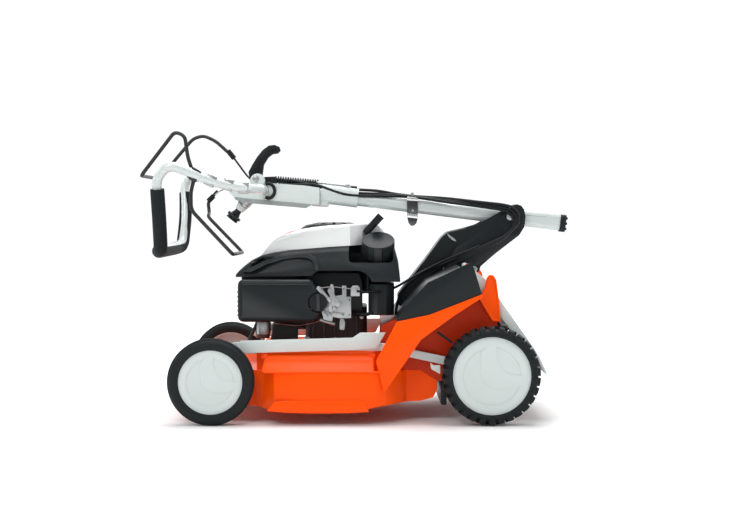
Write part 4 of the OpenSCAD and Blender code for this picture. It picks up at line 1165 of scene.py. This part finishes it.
# ---- Speed lever ----
# A soft-touch paddle ringed with grip ridges stands up from a hub on the head's near side.
paddle = copy_of("speed_lever", "speed_lever_finished")
round_edges(paddle, 0.0050, 4)
stand_in(dress(paddle, rubber), "speed_lever")
spine = [(-0.2480, 0.590), (-0.2440, 0.604), (-0.2340, 0.620), (-0.2230, 0.634), (-0.2110, 0.6445),
         (-0.1980, 0.6460)]
for k in range(15):
    at = k / 14 * (len(spine) - 1.001)
    first, share = int(at), at - int(at)
    here = Vector(spine[first]).lerp(Vector(spine[first + 1]), share)
    heading = Vector(spine[first + 1]) - Vector(spine[first])
    bpy.ops.mesh.primitive_torus_add(
        location=(here.x, -0.025, here.y), rotation=(0, math.atan2(heading.x, heading.y), 0),
        major_radius=0.0112 - 0.0022 * k / 14, minor_radius=0.0013, major_segments=32, minor_segments=8)
    ridge = bpy.context.object
    ridge.name = f"lever_ridge_{k + 1}"
    bpy.ops.object.transform_apply(location=True, rotation=True, scale=True)
    bpy.ops.object.shade_smooth()
    add_on(dress(ridge, rubber), "speed_lever")

# ---- Cables ----
# Three black sheathed cables run along the handle, loop round its pivot and fan out below the
# bracket to the engine and the gearbox.
upper = ([(-0.190, -0.012, 0.560), (-0.145, -0.014, 0.559), (-0.103, -0.016, 0.561),
          (-0.071, -0.018, 0.549), (-0.029, -0.019, 0.535), (0.012, -0.018, 0.532),
          (0.074, -0.014, 0.532), (0.137, -0.012, 0.530), (0.220, -0.020, 0.521),
          (0.300, -0.048, 0.511)],
         [(-0.006, -0.004, 0.548), (0.053, -0.004, 0.545), (0.094, -0.004, 0.537),
          (0.137, -0.002, 0.5315), (0.220, -0.014, 0.5265), (0.300, -0.052, 0.5165)],
         [(-0.165, -0.008, 0.571), (-0.110, -0.010, 0.559), (-0.060, -0.012, 0.545),
          (0.000, -0.010, 0.5385), (0.060, -0.008, 0.537), (0.137, -0.018, 0.5300),
          (0.220, -0.026, 0.5170), (0.300, -0.046, 0.5060)])
round_pivot = [(0.300, -0.048, 0.511), (0.348, -0.0550, 0.505), (0.374, -0.0570, 0.499),
               (0.390, -0.0570, 0.482), (0.387, -0.0570, 0.458)]
lower = ([(0.387, -0.0570, 0.458), (0.361, -0.0570, 0.430), (0.300, -0.0560, 0.401),
          (0.233, -0.0520, 0.373), (0.178, -0.0520, 0.354), (0.130, -0.0540, 0.324),
          (0.105, -0.0600, 0.293), (0.096, -0.0700, 0.259), (0.094, -0.0780, 0.226)],
         [(0.387, -0.0570, 0.458), (0.361, -0.0570, 0.430), (0.300, -0.0560, 0.401),
          (0.233, -0.0520, 0.373), (0.190, -0.0500, 0.350), (0.150, -0.0500, 0.312),
          (0.130, -0.0560, 0.280), (0.118, -0.0640, 0.250)],
         [(0.387, -0.0570, 0.458), (0.361, -0.0570, 0.430), (0.300, -0.0560, 0.401),
          (0.240, -0.0520, 0.371), (0.206, -0.0500, 0.345), (0.176, -0.0500, 0.310),
          (0.160, -0.0560, 0.285)])
sheath_radius = 0.0036
spread = (Vector((0, 0, 0)), Vector((0.0055, -0.0010, 0.0058)), Vector((-0.0055, 0.0010, -0.0052)))
for k in range(3):
    piece = bent_tube(f"handle_cable_{k + 1}", upper[k], sheath_radius, rubber, bend=0.03, sides=14)
    if k == 0:
        stand_in(piece, "handle_cables")
    else:
        add_on(piece, "handle")
    joined = [Vector(upper[k][-1])] + [Vector(point) + spread[k] for point in round_pivot[1:]]
    loop = bent_tube(f"pivot_cable_{k + 1}", joined, sheath_radius, rubber, bend=0.016, sides=14)
    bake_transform(loop)
    line = [Vector(point) + spread[k] for point in lower[k]]
    piece = bent_tube(f"chassis_cable_{k + 1}", line, sheath_radius, rubber, bend=0.03, sides=14)
    if k == 0:
        stand_in(piece, "chassis_cables")
    else:
        add_on(piece, "chassis")
